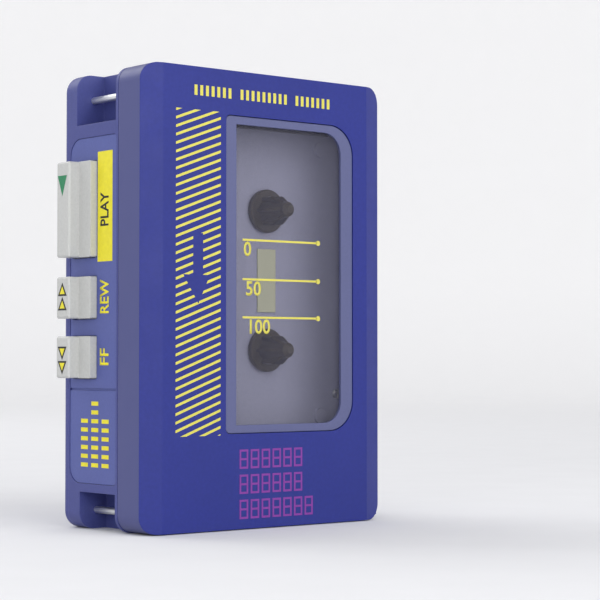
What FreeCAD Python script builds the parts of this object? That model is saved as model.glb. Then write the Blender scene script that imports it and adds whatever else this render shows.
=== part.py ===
"""A personal stereo cassette player, standing upright, as a parametric FreeCAD document.

X runs to the right along the door, Y from the door to the back, Z up. The origin lies on the
surface the player stands on, under the middle of the casing. Every size is in millimetres.
"""

import FreeCAD, Part
import math
import os
import re
import Sketcher
from FreeCAD import Placement, Rotation, Vector

# Driving dimensions. Each is a cell of the sheet, and can be changed by itself.
SIZES = {
    # casing: a hinged door in front, a ring-shaped middle casing and a rear cover
    "case_width": 90,
    "case_height": 134,
    "case_depth": 42,
    "case_wall": 1.8,
    "corner_radius": 5,
    "door_depth": 13,
    "door_panel": 2.4,
    "door_gap": 0.25,
    "floor_gap": 0.3,
    "bevel_width": 6.5,
    "bevel_drop": 2.2,
    "rear_depth": 3.4,
    "rear_panel": 2,
    "rear_edge": 2.4,
    "slide_fit": 0.2,
    "run_fit": 0.05,
    "seat_fit": 0.02,
    # window in the door
    "window_from_right": 12,
    "window_width": 49,
    "window_below_reels": 45.7,
    "window_height": 93,
    "window_radius": 9,
    "window_left_radius": 1.5,
    "frame_left_band": 4,
    "frame_right_band": 4.7,
    "frame_band": 2.5,
    "frame_rebate": 1.2,
    "frame_recess": 0.3,
    "frame_flange": 0.3,
    "lip_thickness": 0.9,
    "glass_thickness": 1.1,
    # hinge along the door's right edge
    "hinge_radius": 4,
    "hinge_pin_radius": 1,
    "hinge_web": 0.6,
    "knuckle_height": 3,
    "knuckle_inset": 4.1,
    "hinge_rib": 2.2,
    "hinge_room": 6.6,
    # cassette holder in the door
    "holder_left": 32,
    "holder_width": 47,
    "holder_wall": 1.2,
    "holder_lip": 5,
    "cassette_length": 100.4,
    "cassette_body": 8.7,
    "cassette_play": 0.5,
    # deck, in front of the gears, and steel chassis plate behind them
    "deck_recess": 3,
    "deck_thickness": 1.4,
    "gear_room": 3.2,
    "chassis_thickness": 1,
    "ledge_width": 2.4,
    "ledge_thickness": 1.2,
    "reel_from_side": 56,
    "reels_above_middle": 6.7,
    "hub_pitch": 42.5,
    "sight_width": 7,
    "sight_height": 19.3,
    "sight_thickness": 0.4,
    "sight_left": 3,
    "rest_run": 22,
    "rest_inset": 9,
    "rest_height": 1,
    # reel spindles
    "spindle_base_radius": 6.6,
    "spindle_base_height": 1.6,
    "spindle_gap": 0.4,
    "spindle_root_radius": 3.6,
    "spindle_tip_radius": 2.2,
    "spindle_reach": 12.6,
    "spindle_fins": 6,
    "fin_inside": 1.5,
    "fin_reach": 4.7,
    "fin_width": 0.9,
    "fin_length": 8.6,
    "neck_radius": 4,
    "reel_post_radius": 1,
    "reel_post_reach": 7,
    # gear train from the capstan to the take-up reel
    "gear_module": 0.6,
    "reel_teeth": 42,
    "idler_teeth": 18,
    "pinion_teeth": 12,
    "tooth_addendum": 0.42,
    "tooth_dedendum": 0.66,
    "tooth_tip": 0.4,
    "tooth_root": 1.1,
    "gear_width": 2,
    "gear_clearance": 0.6,
    "idler_pin_radius": 0.8,
    "idler_pin_head": 1.3,
    # capstan, flywheel, belt and motor
    "capstan_run": 27,
    "capstan_drop": 1.75,
    "capstan_radius": 1,
    "capstan_reach": 11,
    "capstan_tail": 1.2,
    "bearing_radius": 2.6,
    "bearing_overhang": 0.4,
    "flywheel_radius": 15,
    "flywheel_gap": 0.8,
    "flywheel_width": 4,
    "flywheel_rim": 3,
    "flywheel_web": 1.4,
    "flywheel_boss": 3.4,
    "belt_size": 1,
    "belt_groove": 0.8,
    "belt_side_gap": 0.3,
    "motor_from_right": 14,
    "motor_radius": 10,
    "motor_length": 9,
    "motor_shaft_radius": 0.75,
    "pulley_radius": 2.6,
    "pulley_width": 2.4,
    "bracket_gap": 0.5,
    "bracket_thickness": 0.9,
    "bracket_half_width": 10.5,
    "bracket_foot_run": 8,
    "bracket_foot_radius": 1.5,
    "bridge_foot": 1.8,
    "bridge_half_width": 3,
    "bridge_reach": 21.2,
    "bridge_gap": 0.3,
    "bridge_thickness": 0.9,
    # head plate, playback head and pinch roller
    "play_travel": 5,
    "plate_gap": 0.3,
    "plate_thickness": 0.8,
    "plate_left": 9,
    "plate_width": 16,
    "plate_height": 40,
    "plate_slot_radius": 1.2,
    "plate_slot_corner": 1.15,
    "guide_pin_radius": 1,
    "guide_pin_head": 1.8,
    "tab_from_side": 14.6,
    "tab_height": 6,
    "tab_reach": 17,
    "head_from_side": 20.3,
    "head_length": 9,
    "head_height": 12,
    "head_depth": 10.4,
    "head_foot": 1,
    "head_corner": 3.5,
    "gap_line": 0.3,
    "gap_line_depth": 0.3,
    "roller_radius": 4.5,
    "roller_height": 7,
    "roller_nip": 0.15,
    "arm_length": 17.7,
    "arm_rest_lean": 8.5,
    "arm_swing": 25.3,
    "arm_gap": 0.4,
    "arm_thickness": 1,
    "arm_half_width": 2.2,
    "arm_end_radius": 2.15,
    "arm_pin_radius": 0.8,
    # control panel and keys on the left side
    "panel_thickness": 0.8,
    "panel_recess": 0.15,
    "panel_fit": 0.1,
    "panel_front": 1,
    "panel_bottom": 13.6,
    "panel_top_drop": 19.5,
    "panel_radius": 5,
    "panel_front_radius": 1.5,
    "panel_rear_gap": 0.7,
    "groove_width": 0.7,
    "groove_depth": 0.4,
    "groove_above_floor": 40.6,
    "key_front": 11.2,
    "key_depth": 12.8,
    "key_step_depth": 6,
    "key_step_proud": 2,
    "key_proud": 5.5,
    "key_edge": 0.5,
    "key_flange": 1,
    "key_flange_thickness": 1.4,
    "key_flange_gap": 0.1,
    "stem_depth": 4,
    "stem_height": 5,
    "play_key_height": 28,
    "play_key_above": 19.8,
    "play_stem_drop": 4,
    "small_key_height": 12.2,
    "rew_key_below": 6,
    "ff_key_below": 23.4,
    "guide_from_side": 9.6,
    "guide_thickness": 0.9,
    "spring_radius": 3.8,
    "spring_wall": 0.45,
    # stop key on the top, which also frees the door
    "stop_travel": 3,
    "stop_key_left": 30,
    "stop_key_width": 14,
    "stop_key_front": 10,
    "stop_key_depth": 7,
    "stop_key_proud": 2.4,
    "latch_width": 4,
    "latch_height": 5,
    "latch_thickness": 0.8,
    "latch_drop": 9.5,
    "catch_drop": 6.8,
    "catch_thickness": 2,
    # strap lugs in the two left corners
    "lug_width": 9.5,
    "lug_wall": 1.4,
    "lug_front": 1.2,
    "top_lug_height": 15.5,
    "top_lug_depth": 21.6,
    "bottom_lug_height": 11,
    "bottom_lug_depth": 19.5,
    "strap_bar_radius": 1,
    "strap_bar_from_side": 6,
    "top_bar_drop": 7.5,
    "bottom_bar_height": 5.5,
    # sockets, volume wheel, tape switch and lamp
    "jack_from_right": 15,
    "jack_behind_split": 14,
    "plug_radius": 1.8,
    "plug_depth": 14.5,
    "jack_body": 8,
    "jack_length": 16,
    "jack_neck": 2.8,
    "jack_proud": 0.6,
    "jack_nut_radius": 4,
    "power_above_boss": 7.6,
    "power_jack_radius": 2.75,
    "power_jack_depth": 8,
    "power_jack_body": 8,
    "power_pin_radius": 0.6,
    "volume_above_reels": 32.3,
    "volume_radius": 8,
    "volume_thickness": 3,
    "volume_proud": 1.2,
    "volume_behind_split": 17,
    "volume_ribs": 28,
    "volume_rib": 0.3,
    "volume_axle": 1.5,
    "volume_slot": 13.8,
    "volume_pot_radius": 4.6,
    "volume_pot_floor": 1,
    "switch_above_reels": 12.3,
    "switch_behind_split": 15.5,
    "switch_width": 2.4,
    "switch_depth": 2.6,
    "switch_travel": 3,
    "switch_knob": 4,
    "switch_proud": 0.8,
    "lamp_from_right": 29,
    "lamp_radius": 1.5,
    "lamp_bevel": 0.45,
    "lamp_flange_radius": 2,
    "lamp_length": 6,
    # battery tray, contacts and lid
    "cell_length": 50.5,
    "cell_diameter": 14.5,
    "cell_play": 1.5,
    "tray_wall": 1.2,
    "tray_corner": 2,
    "tray_from_right": 3.2,
    "tray_gap": 0.2,
    "tray_room": 0.5,
    "lid_gap": 0.1,
    "lid_groove": 0.5,
    "lid_groove_pitch": 1.9,
    "lid_groove_rise": 2.4,
    "lid_grip_width": 16,
    "lid_grip_from_right": 24,
    "contact_thickness": 0.4,
    "contact_reach": 5,
    "lid_hinge_radius": 1.3,
    "lid_pin_radius": 0.6,
    "lid_pin_length": 1,
    # circuit board
    "board_thickness": 1.2,
    "board_gap": 0.7,
    "board_room": 1.5,
    "board_inset": 3.4,
    "chip_from_left": 20,
    "chip_above_middle": 25,
    "chip_length": 13,
    "chip_width": 7,
    "chip_height": 1.8,
    "capacitor_radius": 2.5,
    "capacitor_pitch": 6.5,
    "capacitor_height": 6,
    # screws
    "boss_radius": 2.4,
    "screw_radius": 0.8,
    "screw_head_radius": 1.6,
    "screw_head_height": 1,
    "screw_sink": 0.2,
    "deck_screw_length": 8,
    "rear_screw_length": 6,
    "boss_from_left": 15.5,
    "boss_from_right": 5.2,
    "boss_from_top": 7,
    "boss_above_tray": 4,
    "boss_left_height": 7.5,
}

# Places and lengths worked out from the driving dimensions.
PLACES = {
    "left": "-case_width / 2",
    "right": "case_width / 2",
    "top": "case_height",
    "front": "-case_depth / 2",
    "back": "front + max(case_depth, drive_depth, cell_depth)",
    "split": "front + door_depth",
    "seam": "back - rear_depth",
    "in_left": "left + case_wall",
    "in_right": "right - case_wall",
    "in_top": "top - case_wall",
    "in_back": "back - rear_panel",
    "door_back": "split - door_gap",
    "door_inside": "front + door_panel",
    "hinge_x": "right - hinge_radius",
    "hinge_y": "door_back - hinge_radius",
    "knuckle_low": "knuckle_inset",
    "knuckle_high": "top - knuckle_inset - knuckle_height",
    # depth taken up by door, deck and drive, and by door, deck and cells, whose tray
    # is behind the flywheel where it reaches as high
    "deck_depth": "door_depth + deck_recess + deck_thickness + gear_room + chassis_thickness",
    "motor_depth": "bracket_gap + bracket_thickness + motor_length",
    "board_depth": "board_gap + board_thickness + board_room + rear_panel",
    "belt_depth": "flywheel_gap + (flywheel_width + pulley_width) / 2",
    "drive_depth": "deck_depth + belt_depth + motor_depth + board_depth",
    "flywheel_low": "capstan_z - flywheel_radius",
    "wheel_room": "tray_z1 < flywheel_low ? 0 : flywheel_gap + flywheel_width",
    "tray_depth": "tray_room + tray_wall + cell_play / 2 + cell_diameter",
    "cell_depth": "deck_depth + max(ledge_thickness, wheel_room) + tray_depth + tray_gap + rear_panel",
    # window
    "window_right": "right - window_from_right",
    "window_left": "window_right - window_width",
    "window_low": "reels_z - window_below_reels",
    "window_high": "window_low + window_height",
    "glass_front": "front + frame_recess + lip_thickness",
    "glass_left": "window_left + frame_left_band",
    "glass_right": "window_right - frame_right_band",
    "glass_low": "window_low + frame_band",
    "glass_high": "window_high - frame_band",
    "glass_radius": "window_radius - frame_band",
    # deck and chassis levels, from front to back
    "deck_front": "split + deck_recess",
    "deck_back": "deck_front + deck_thickness",
    "gear_front": "deck_back + gear_clearance",
    "gear_back": "gear_front + gear_width",
    "chassis_front": "deck_back + gear_room",
    "chassis_back": "chassis_front + chassis_thickness",
    "flywheel_front": "chassis_back + flywheel_gap",
    "flywheel_back": "flywheel_front + flywheel_width",
    "belt_y": "flywheel_front + flywheel_width / 2",
    "bracket_front": "belt_y + pulley_width / 2 + bracket_gap",
    "motor_front": "bracket_front + bracket_thickness",
    "motor_back": "motor_front + motor_length",
    "board_front": "motor_back + board_gap",
    "shaft_end": "flywheel_back + capstan_tail",
    "bridge_front": "shaft_end + bridge_gap",
    # reels and gear train
    "reel_x": "left + reel_from_side",
    "reels_z": "case_height / 2 + reels_above_middle",
    "takeup_z": "reels_z - hub_pitch / 2",
    "supply_z": "reels_z + hub_pitch / 2",
    "idler_run": "gear_module * (idler_teeth + reel_teeth) / 2",
    "pinion_run": "gear_module * (pinion_teeth + idler_teeth) / 2",
    "train_x": "sqrt(capstan_run ^ 2 - capstan_drop ^ 2)",
    "train_lean": "atan(capstan_drop / train_x)",
    "reel_side": "capstan_run ^ 2 + idler_run ^ 2 - pinion_run ^ 2",
    "reel_bend": "acos(min(1, reel_side / (2 * idler_run * capstan_run)))",
    "pinion_side": "capstan_run ^ 2 + pinion_run ^ 2 - idler_run ^ 2",
    "pinion_bend": "acos(min(1, pinion_side / (2 * pinion_run * capstan_run)))",
    "capstan_x": "reel_x - train_x",
    "capstan_z": "takeup_z - capstan_drop",
    "idler_x": "reel_x - idler_run * cos(train_lean + reel_bend)",
    "idler_z": "takeup_z - idler_run * sin(train_lean + reel_bend)",
    "motor_x": "right - motor_from_right",
    "motor_z": "reels_z",
    # the tape runs in the middle of the cassette's thickness
    "holder_back": "door_inside + 2 * holder_wall + cassette_body + cassette_play",
    "tape_y": "door_inside + holder_wall + (cassette_body + cassette_play) / 2",
    "cassette_low": "reels_z - cassette_length / 2 - cassette_play",
    "cassette_high": "reels_z + cassette_length / 2 + cassette_play",
    # head plate and pinch roller
    "plate_back": "deck_front - plate_gap",
    "plate_front": "plate_back - plate_thickness",
    "plate_x": "left + plate_left",
    "tab_x": "left + tab_from_side",
    "stem_z": "reels_z + play_key_above - play_stem_drop",
    "head_face": "left + head_from_side",
    "arm_back": "plate_front - arm_gap",
    "arm_front": "arm_back - arm_thickness",
    "roller_front": "tape_y - roller_height / 2",
    "nip_x": "capstan_x - capstan_radius - roller_radius - roller_nip",
    "pivot_x": "nip_x - arm_length * sin(arm_rest_lean + arm_swing)",
    "pivot_z": "capstan_z - arm_length * cos(arm_rest_lean + arm_swing)",
    # keys
    "panel_back": "seam - panel_rear_gap",
    "panel_top": "top - panel_top_drop",
    "key_y0": "split + key_front",
    "key_y1": "key_y0 + key_depth",
    "stem_y": "key_y0 + key_depth / 2",
    "guide_x": "left + guide_from_side",
    "flange_x": "in_left + key_flange_gap",
    "stop_x": "left + stop_key_left",
    "flange_back": "flange_x + key_flange_thickness",
    "stop_y": "split + stop_key_front",
    "latch_x": "stop_x + stop_key_width / 2",
    "latch_y": "gear_front",
    "latch_low": "top - latch_drop",
    "catch_z": "top - catch_drop",
    # sockets, wheel, switch and lamp
    "jack_x": "right - jack_from_right",
    "jack_y": "split + jack_behind_split",
    "lamp_x": "right - lamp_from_right",
    "volume_x": "right + volume_proud - volume_radius",
    "volume_y": "split + volume_behind_split",
    "volume_z": "reels_z + volume_above_reels",
    "switch_y": "split + switch_behind_split",
    "switch_z": "reels_z + switch_above_reels",
    "switch_floor": "in_right - switch_depth",
    # batteries
    "tray_x1": "right - tray_from_right",
    "tray_x0": "tray_x1 - cell_length - cell_play - 2 * tray_wall",
    "tray_z0": "case_wall + tray_gap",
    "tray_z1": "tray_z0 + 2 * cell_diameter + cell_play + 2 * tray_wall",
    "tray_y0": "in_back - tray_gap - cell_diameter - cell_play / 2 - tray_wall",
    "lid_hinge_y": "back - lid_hinge_radius",
    "lid_hinge_z": "tray_z1 - lid_hinge_radius",
    "lid_y0": "in_back + lid_gap",
    "lid_z0": "tray_z0 + tray_wall",
    "lid_grip_x": "tray_x1 - lid_grip_from_right",
    "boss_right_z": "tray_z1 + boss_above_tray",
    "power_z": "boss_right_z + power_above_boss",
    "chip_x": "left + chip_from_left",
    "chip_z": "case_height / 2 + chip_above_middle",
}

doc = FreeCAD.newDocument("cassette_player")
sheet = doc.addObject("Spreadsheet::Sheet", "sizes")
for row, (alias, number) in enumerate(SIZES.items(), start=1):
    sheet.set(f"A{row}", alias)
    sheet.set(f"B{row}", str(number))
    sheet.setAlias(f"B{row}", alias)
doc.recompute()

subparts = []


def bound(expression):
    """The expression with each place worked out and each size read from the sheet."""

    def word(match):
        name = match[0]
        if name in PLACES:
            return f"({bound(PLACES[name])})"
        return f"sizes.{name}" if name in SIZES else name

    return re.sub(r"[a-z]\w*", word, expression)


def value(expression):
    """The number an expression gives at present."""
    return float(sheet.evalExpression(bound(expression)))


# ---- outlines: each returns a function that draws itself in a sketch ----


def fix_point(sketch, geometry, point, across, up):
    """Ties a point of the sketch to two expressions."""
    for kind, expression in (("DistanceX", across), ("DistanceY", up)):
        number = value(expression)
        row = sketch.addConstraint(Sketcher.Constraint(kind, -1, 1, geometry, point, number))
        sketch.setExpression(f"Constraints[{row}]", bound(expression))


def circle(across, up, radius):
    """A circle round a point."""

    def draw(sketch):
        centre = Vector(value(across), value(up), 0)
        ring = sketch.addGeometry(Part.Circle(centre, Vector(0, 0, 1), value(radius)))
        fix_point(sketch, ring, 3, across, up)
        row = sketch.addConstraint(Sketcher.Constraint("Radius", ring, value(radius)))
        sketch.setExpression(f"Constraints[{row}]", bound(radius))

    return draw


def polygon(*points):
    """Straight lines from point to point, closed."""

    def draw(sketch):
        places = [Vector(value(across), value(up), 0) for across, up in points]
        lines = [
            sketch.addGeometry(Part.LineSegment(start, end))
            for start, end in zip(places, places[1:] + places[:1])
        ]
        for line, following in zip(lines, lines[1:] + lines[:1]):
            sketch.addConstraint(Sketcher.Constraint("Coincident", line, 2, following, 1))
        for line, (across, up) in zip(lines, points):
            fix_point(sketch, line, 1, across, up)

    return draw


def rectangle(x0, x1, y0, y1, *radii):
    """A rectangle with plain or rounded corners, in the order low left, low right, high right,
    high left. One radius serves all four corners; a radius of None leaves a corner plain."""
    corner_radii = list(radii) * 4 if len(radii) == 1 else list(radii) or [None] * 4

    def draw(sketch):
        corners = [(x0, y0, 1, 1), (x1, y0, -1, 1), (x1, y1, -1, -1), (x0, y1, 1, -1)]
        starts, ends, arcs = [], [], []
        for (across, up, right, high), radius in zip(corners, corner_radii):
            corner = Vector(value(across), value(up), 0)
            if radius is None:
                starts.append(corner)
                ends.append(corner)
                continue
            size = value(radius)
            beside = corner + Vector(right * size, 0, 0)
            above = corner + Vector(0, high * size, 0)
            leaving = beside if right == high else above
            arriving = above if right == high else beside
            starts.append(leaving)
            ends.append(arriving)
        lines = [
            sketch.addGeometry(Part.LineSegment(starts[i], ends[(i + 1) % 4])) for i in range(4)
        ]
        for i, ((across, up, right, high), radius) in enumerate(zip(corners, corner_radii)):
            before = lines[i - 1]
            after = lines[i]
            if radius is None:
                sketch.addConstraint(Sketcher.Constraint("Coincident", before, 2, after, 1))
                fix_point(sketch, after, 1, across, up)
                continue
            size = value(radius)
            centre = Vector(value(across) + right * size, value(up) + high * size, 0)
            turn = math.atan2(ends[i].y - centre.y, ends[i].x - centre.x)
            ring = Part.Circle(centre, Vector(0, 0, 1), size)
            arc = sketch.addGeometry(Part.ArcOfCircle(ring, turn, turn + math.pi / 2))
            sketch.addConstraint(Sketcher.Constraint("Tangent", before, 2, arc, 1))
            sketch.addConstraint(Sketcher.Constraint("Tangent", arc, 2, after, 1))
            side = "+" if right == 1 else "-"
            rise = "+" if high == 1 else "-"
            fix_point(sketch, arc, 3, f"{across} {side} ({radius})", f"{up} {rise} ({radius})")
            row = sketch.addConstraint(Sketcher.Constraint("Radius", arc, size))
            sketch.setExpression(f"Constraints[{row}]", bound(radius))

    return draw


# ---- bodies and their features ----

SIGHT = {"XY_Plane": 1, "XZ_Plane": -1, "YZ_Plane": 1}


def new_body(label):
    """A PartDesign body, which becomes one sub-part."""
    body = doc.addObject("PartDesign::Body", label)
    body.Label = label
    subparts.append(body)
    return body


def place(body, x="0", y="0", z="0"):
    """Puts a body made round its own origin where it belongs."""
    for axis, expression in zip("xyz", (x, y, z)):
        body.setExpression(f"Placement.Base.{axis}", bound(expression))


def turn(body, axis, angle):
    """Turns a body about an axis through its own origin."""
    body.Placement = Placement(Vector(), Rotation(axis, 1))
    body.setExpression("Placement.Rotation.Angle", bound(angle))


def origin_feature(body, role):
    """One of the body's own origin planes or axes."""
    return next(item for item in body.Origin.OriginFeatures if item.Role == role)


def new_sketch(body, plane, offset, outlines):
    """A sketch on an origin plane, moved along the plane's axis, holding the outlines."""
    sketch = body.newObject("Sketcher::SketchObject", "sketch")
    sketch.AttachmentSupport = (origin_feature(body, plane), [""])
    sketch.MapMode = "FlatFace"
    sign = "-" if SIGHT[plane] < 0 else ""
    sketch.setExpression("AttachmentOffset.Base.z", bound(f"{sign}({offset})"))
    for outline in outlines:
        outline(sketch)
    return sketch


def pad(body, plane, start, end, *outlines):
    """Material from start to end along the plane's axis."""
    sketch = new_sketch(body, plane, start, outlines)
    feature = body.newObject("PartDesign::Pad", "pad")
    feature.Profile = sketch
    feature.setExpression("Length", bound(f"({end}) - ({start})"))
    feature.Reversed = SIGHT[plane] < 0
    return feature


def cut(body, plane, start, end, *outlines):
    """Material taken away from start to end along the plane's axis."""
    sketch = new_sketch(body, plane, start, outlines)
    feature = body.newObject("PartDesign::Pocket", "pocket")
    feature.Profile = sketch
    feature.setExpression("Length", bound(f"({end}) - ({start})"))
    feature.Reversed = SIGHT[plane] > 0
    return feature


def revolve(body, *points):
    """A turned shape round the Y axis, from (radius, y) points."""
    sketch = new_sketch(body, "XY_Plane", "0", [polygon(*points)])
    feature = body.newObject("PartDesign::Revolution", "turned")
    feature.Profile = sketch
    feature.ReferenceAxis = (sketch, ["V_Axis"])
    feature.Angle = 360
    return feature


def repeat_round(body, features, count):
    """Copies features evenly round the body's Y axis."""
    pattern = body.newObject("PartDesign::PolarPattern", "repeat")
    pattern.Originals = features
    pattern.Axis = (origin_feature(body, "Y_Axis"), [""])
    pattern.Angle = 360
    pattern.setExpression("Occurrences", bound(count))
    body.Tip = pattern
    return pattern


def dress(body, kind, size, test):
    """Rounds (Fillet) or bevels (Chamfer) the edges that the test picks."""
    doc.recompute()
    base = body.Tip
    names = [f"Edge{i}" for i, edge in enumerate(base.Shape.Edges, start=1) if test(edge)]
    if not names:
        raise RuntimeError(f"{body.Label}: no edge to dress")
    feature = body.newObject(f"PartDesign::{kind}", kind.lower())
    feature.Base = (base, names)
    feature.setExpression("Radius" if kind == "Fillet" else "Size", bound(size))
    return feature


# ---- casing ----

CASE_OUTLINE = ("left", "right", "0", "top", "corner_radius")
CASE_INSIDE = ("in_left", "in_right", "case_wall", "in_top", "corner_radius - case_wall")
HINGE_ENDS = ("knuckle_low", "knuckle_high")
BOSSES = (
    ("left + boss_from_left", "top - boss_from_top"),
    ("right - boss_from_right", "top - boss_from_top"),
    ("right - boss_from_right", "boss_right_z"),
    ("left + boss_from_left", "boss_left_height"),
)
LID_GROOVES = 4
CAPACITORS = 3
KEYS = {
    "play_key": ("reels_z + play_key_above", "play_key_height", "stem_z"),
    "rew_key": ("reels_z - rew_key_below", "small_key_height", "reels_z - rew_key_below"),
    "ff_key": ("reels_z - ff_key_below", "small_key_height", "reels_z - ff_key_below"),
}


def key_opening(middle, height):
    """The hole that a key moves through."""
    low = f"{middle} - {height} / 2 - slide_fit"
    high = f"{middle} + {height} / 2 + slide_fit"
    return rectangle("key_y0 - slide_fit", "key_y1 + slide_fit", low, high, "key_edge")


def panel_outline(grow):
    """The control panel on the left side, with rounder corners at the rear."""
    return rectangle(
        f"split + panel_front - {grow}", f"panel_back + {grow}", f"panel_bottom - {grow}",
        f"panel_top + {grow}", "panel_front_radius", "panel_radius", "panel_radius",
        "panel_front_radius",
    )


def add_strap_lugs(body):
    """A box of walls in each left corner, open to the side and to the end of the casing."""
    wall_x = "left + lug_width + lug_wall"
    top_low = "top - top_lug_height"
    pad(body, "XZ_Plane", "split", "split + top_lug_depth + lug_wall",
        rectangle("left", wall_x, f"{top_low} - lug_wall", "top", None, None, None, "corner_radius"))
    cut(body, "XZ_Plane", "split + lug_front", "split + top_lug_depth",
        rectangle("left - lug_width", "left + lug_width", top_low, "top + lug_width"))
    pad(body, "XZ_Plane", "split", "split + bottom_lug_depth + lug_wall",
        rectangle("left", wall_x, "0", "bottom_lug_height + lug_wall", "corner_radius",
                  None, None, None))
    cut(body, "XZ_Plane", "split + lug_front", "split + bottom_lug_depth",
        rectangle("left - lug_width", "left + lug_width", "-lug_width", "bottom_lug_height"))


def make_mid_case():
    """The ring of walls between door and rear cover, with lugs, ledge, bosses and openings."""
    body = new_body("mid_case")
    pad(body, "XZ_Plane", "split", "seam", rectangle(*CASE_OUTLINE), rectangle(*CASE_INSIDE))
    # the ledge that the chassis plate rests on, left out behind the stop key
    inner_edge = rectangle("in_left + ledge_width", "in_right - ledge_width",
                           "case_wall + ledge_width", "in_top - ledge_width")
    pad(body, "XZ_Plane", "chassis_back", "chassis_back + ledge_thickness",
        rectangle(*CASE_OUTLINE), inner_edge)
    cut(body, "XZ_Plane", "chassis_back", "chassis_back + ledge_thickness",
        rectangle("stop_x - 2 * key_flange", "stop_x + stop_key_width + 2 * key_flange",
                  "in_top - 2 * ledge_width", "in_top"))
    add_strap_lugs(body)
    # screw bosses, each tied to the nearest wall by a rib
    for x, z in BOSSES:
        pad(body, "XZ_Plane", "chassis_back", "in_back", circle(x, z, "boss_radius"))
    for x, z in BOSSES[:2]:
        pad(body, "XZ_Plane", "chassis_back", "seam",
            rectangle(f"{x} - lug_wall / 2", f"{x} + lug_wall / 2", z, "in_top + case_wall / 2"))
    pad(body, "XZ_Plane", "chassis_back", "seam",
        rectangle(BOSSES[2][0], "in_right + case_wall / 2",
                  "boss_right_z - lug_wall / 2", "boss_right_z + lug_wall / 2"))
    pad(body, "XZ_Plane", "chassis_back", "seam",
        rectangle("left + boss_from_left - lug_wall / 2", "left + boss_from_left + lug_wall / 2",
                  "case_wall / 2", "boss_left_height"))
    for x, z in BOSSES:
        cut(body, "XZ_Plane", "chassis_back", "in_back", circle(x, z, "screw_radius + seat_fit"))
    # hinge knuckles in front of the right wall
    for low in HINGE_ENDS:
        high = f"{low} + knuckle_height"
        pad(body, "XY_Plane", low, high, circle("hinge_x", "hinge_y", "hinge_radius"))
        pad(body, "XY_Plane", low, high,
            rectangle("hinge_x - hinge_radius", "right", "hinge_y", "split + case_wall"))
        cut(body, "XY_Plane", low, high,
            circle("hinge_x", "hinge_y", "hinge_pin_radius + seat_fit"))
    # left side: the panel's recess and the key openings
    cut(body, "YZ_Plane", "left", "left + panel_recess + panel_thickness",
        panel_outline("panel_fit"))
    for middle, height, _ in KEYS.values():
        cut(body, "YZ_Plane", "left", "in_left", key_opening(middle, height))
    # top: stop key, headphone socket and lamp
    cut(body, "XY_Plane", "in_top", "top",
        rectangle("stop_x - slide_fit", "stop_x + stop_key_width + slide_fit",
                  "stop_y - slide_fit", "stop_y + stop_key_depth + slide_fit", "key_edge"))
    cut(body, "XY_Plane", "in_top", "top", circle("jack_x", "jack_y", "jack_neck + slide_fit"))
    cut(body, "XY_Plane", "in_top", "top", circle("lamp_x", "jack_y", "lamp_radius + run_fit"))
    # right side: volume wheel, tape switch and power socket
    cut(body, "YZ_Plane", "in_right", "right",
        rectangle("volume_y - 2 * slide_fit", "volume_y + volume_thickness + 2 * slide_fit",
                  "volume_z - volume_slot / 2", "volume_z + volume_slot / 2"))
    cut(body, "YZ_Plane", "in_right", "right",
        rectangle("switch_y - slide_fit", "switch_y + switch_width + slide_fit",
                  "switch_z - slide_fit",
                  "switch_z + switch_knob + switch_travel + slide_fit"))
    cut(body, "YZ_Plane", "in_right", "right",
        circle("jack_y", "power_z", "power_jack_radius"))


def make_front_door():
    """The hinged door: a shallow shell with bevelled sides, window opening and hinge barrel."""
    body = new_body("front_door")
    pad(body, "XZ_Plane", "front", "door_back",
        rectangle("left", "right", "floor_gap", "top", "corner_radius"))
    for side, away in (("left", "+"), ("right", "-")):
        outside = "left - bevel_drop" if side == "left" else "right + bevel_drop"
        crease = f"{side} {away} bevel_width"
        corner = "front - bevel_drop"
        cut(body, "XY_Plane", "0", "top",
            polygon((side, "front + bevel_drop"), (crease, "front"), (crease, corner),
                    (outside, corner), (outside, "front + bevel_drop")))
    # the right rear edge is round about the hinge line, so that it clears the casing
    cut(body, "XY_Plane", "0", "top",
        rectangle("hinge_x", "right + hinge_radius", "hinge_y", "door_back + hinge_radius"))
    pad(body, "XY_Plane", "floor_gap + corner_radius", "top - corner_radius",
        circle("hinge_x", "hinge_y", "hinge_radius"))
    low, high = "floor_gap + case_wall", "in_top"
    cut(body, "XZ_Plane", "door_inside", "hinge_y",
        rectangle("in_left", "in_right", low, high, "corner_radius - case_wall"))
    cut(body, "XZ_Plane", "hinge_y", "door_back",
        rectangle("in_left", "hinge_x - hinge_web", low, high, "corner_radius - case_wall"))
    # room for the knuckles, and ribs beside them that carry the hinge pins
    for base in HINGE_ENDS:
        for rib in (f"{base} - slide_fit - hinge_rib", f"{base} + knuckle_height + slide_fit"):
            pad(body, "XY_Plane", rib, f"{rib} + hinge_rib",
                rectangle("hinge_x - hinge_radius", "in_right + case_wall / 2",
                          "door_inside - case_wall / 4", "hinge_y"))
            pad(body, "XY_Plane", rib, f"{rib} + hinge_rib",
                circle("hinge_x", "hinge_y", "hinge_radius - run_fit"))
        cut(body, "XY_Plane", f"{base} - slide_fit", f"{base} + knuckle_height + slide_fit",
            circle("hinge_x", "hinge_y", "hinge_room"))
        cut(body, "XY_Plane", f"{base} - slide_fit - hinge_rib",
            f"{base} + knuckle_height + slide_fit + hinge_rib",
            circle("hinge_x", "hinge_y", "hinge_pin_radius + run_fit"))
    # window
    cut(body, "XZ_Plane", "front", "door_inside", window_outline("0"))
    # finger that the latch holds
    finger = "latch_x - latch_width / 2", "latch_x + latch_width / 2"
    pad(body, "XZ_Plane", "door_inside", "door_back",
        rectangle(*finger, "catch_z", "in_top + case_wall / 2"))
    pad(body, "XZ_Plane", "door_back", "gear_front - 2 * slide_fit",
        rectangle(*finger, "catch_z", "catch_z + catch_thickness"))


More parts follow.
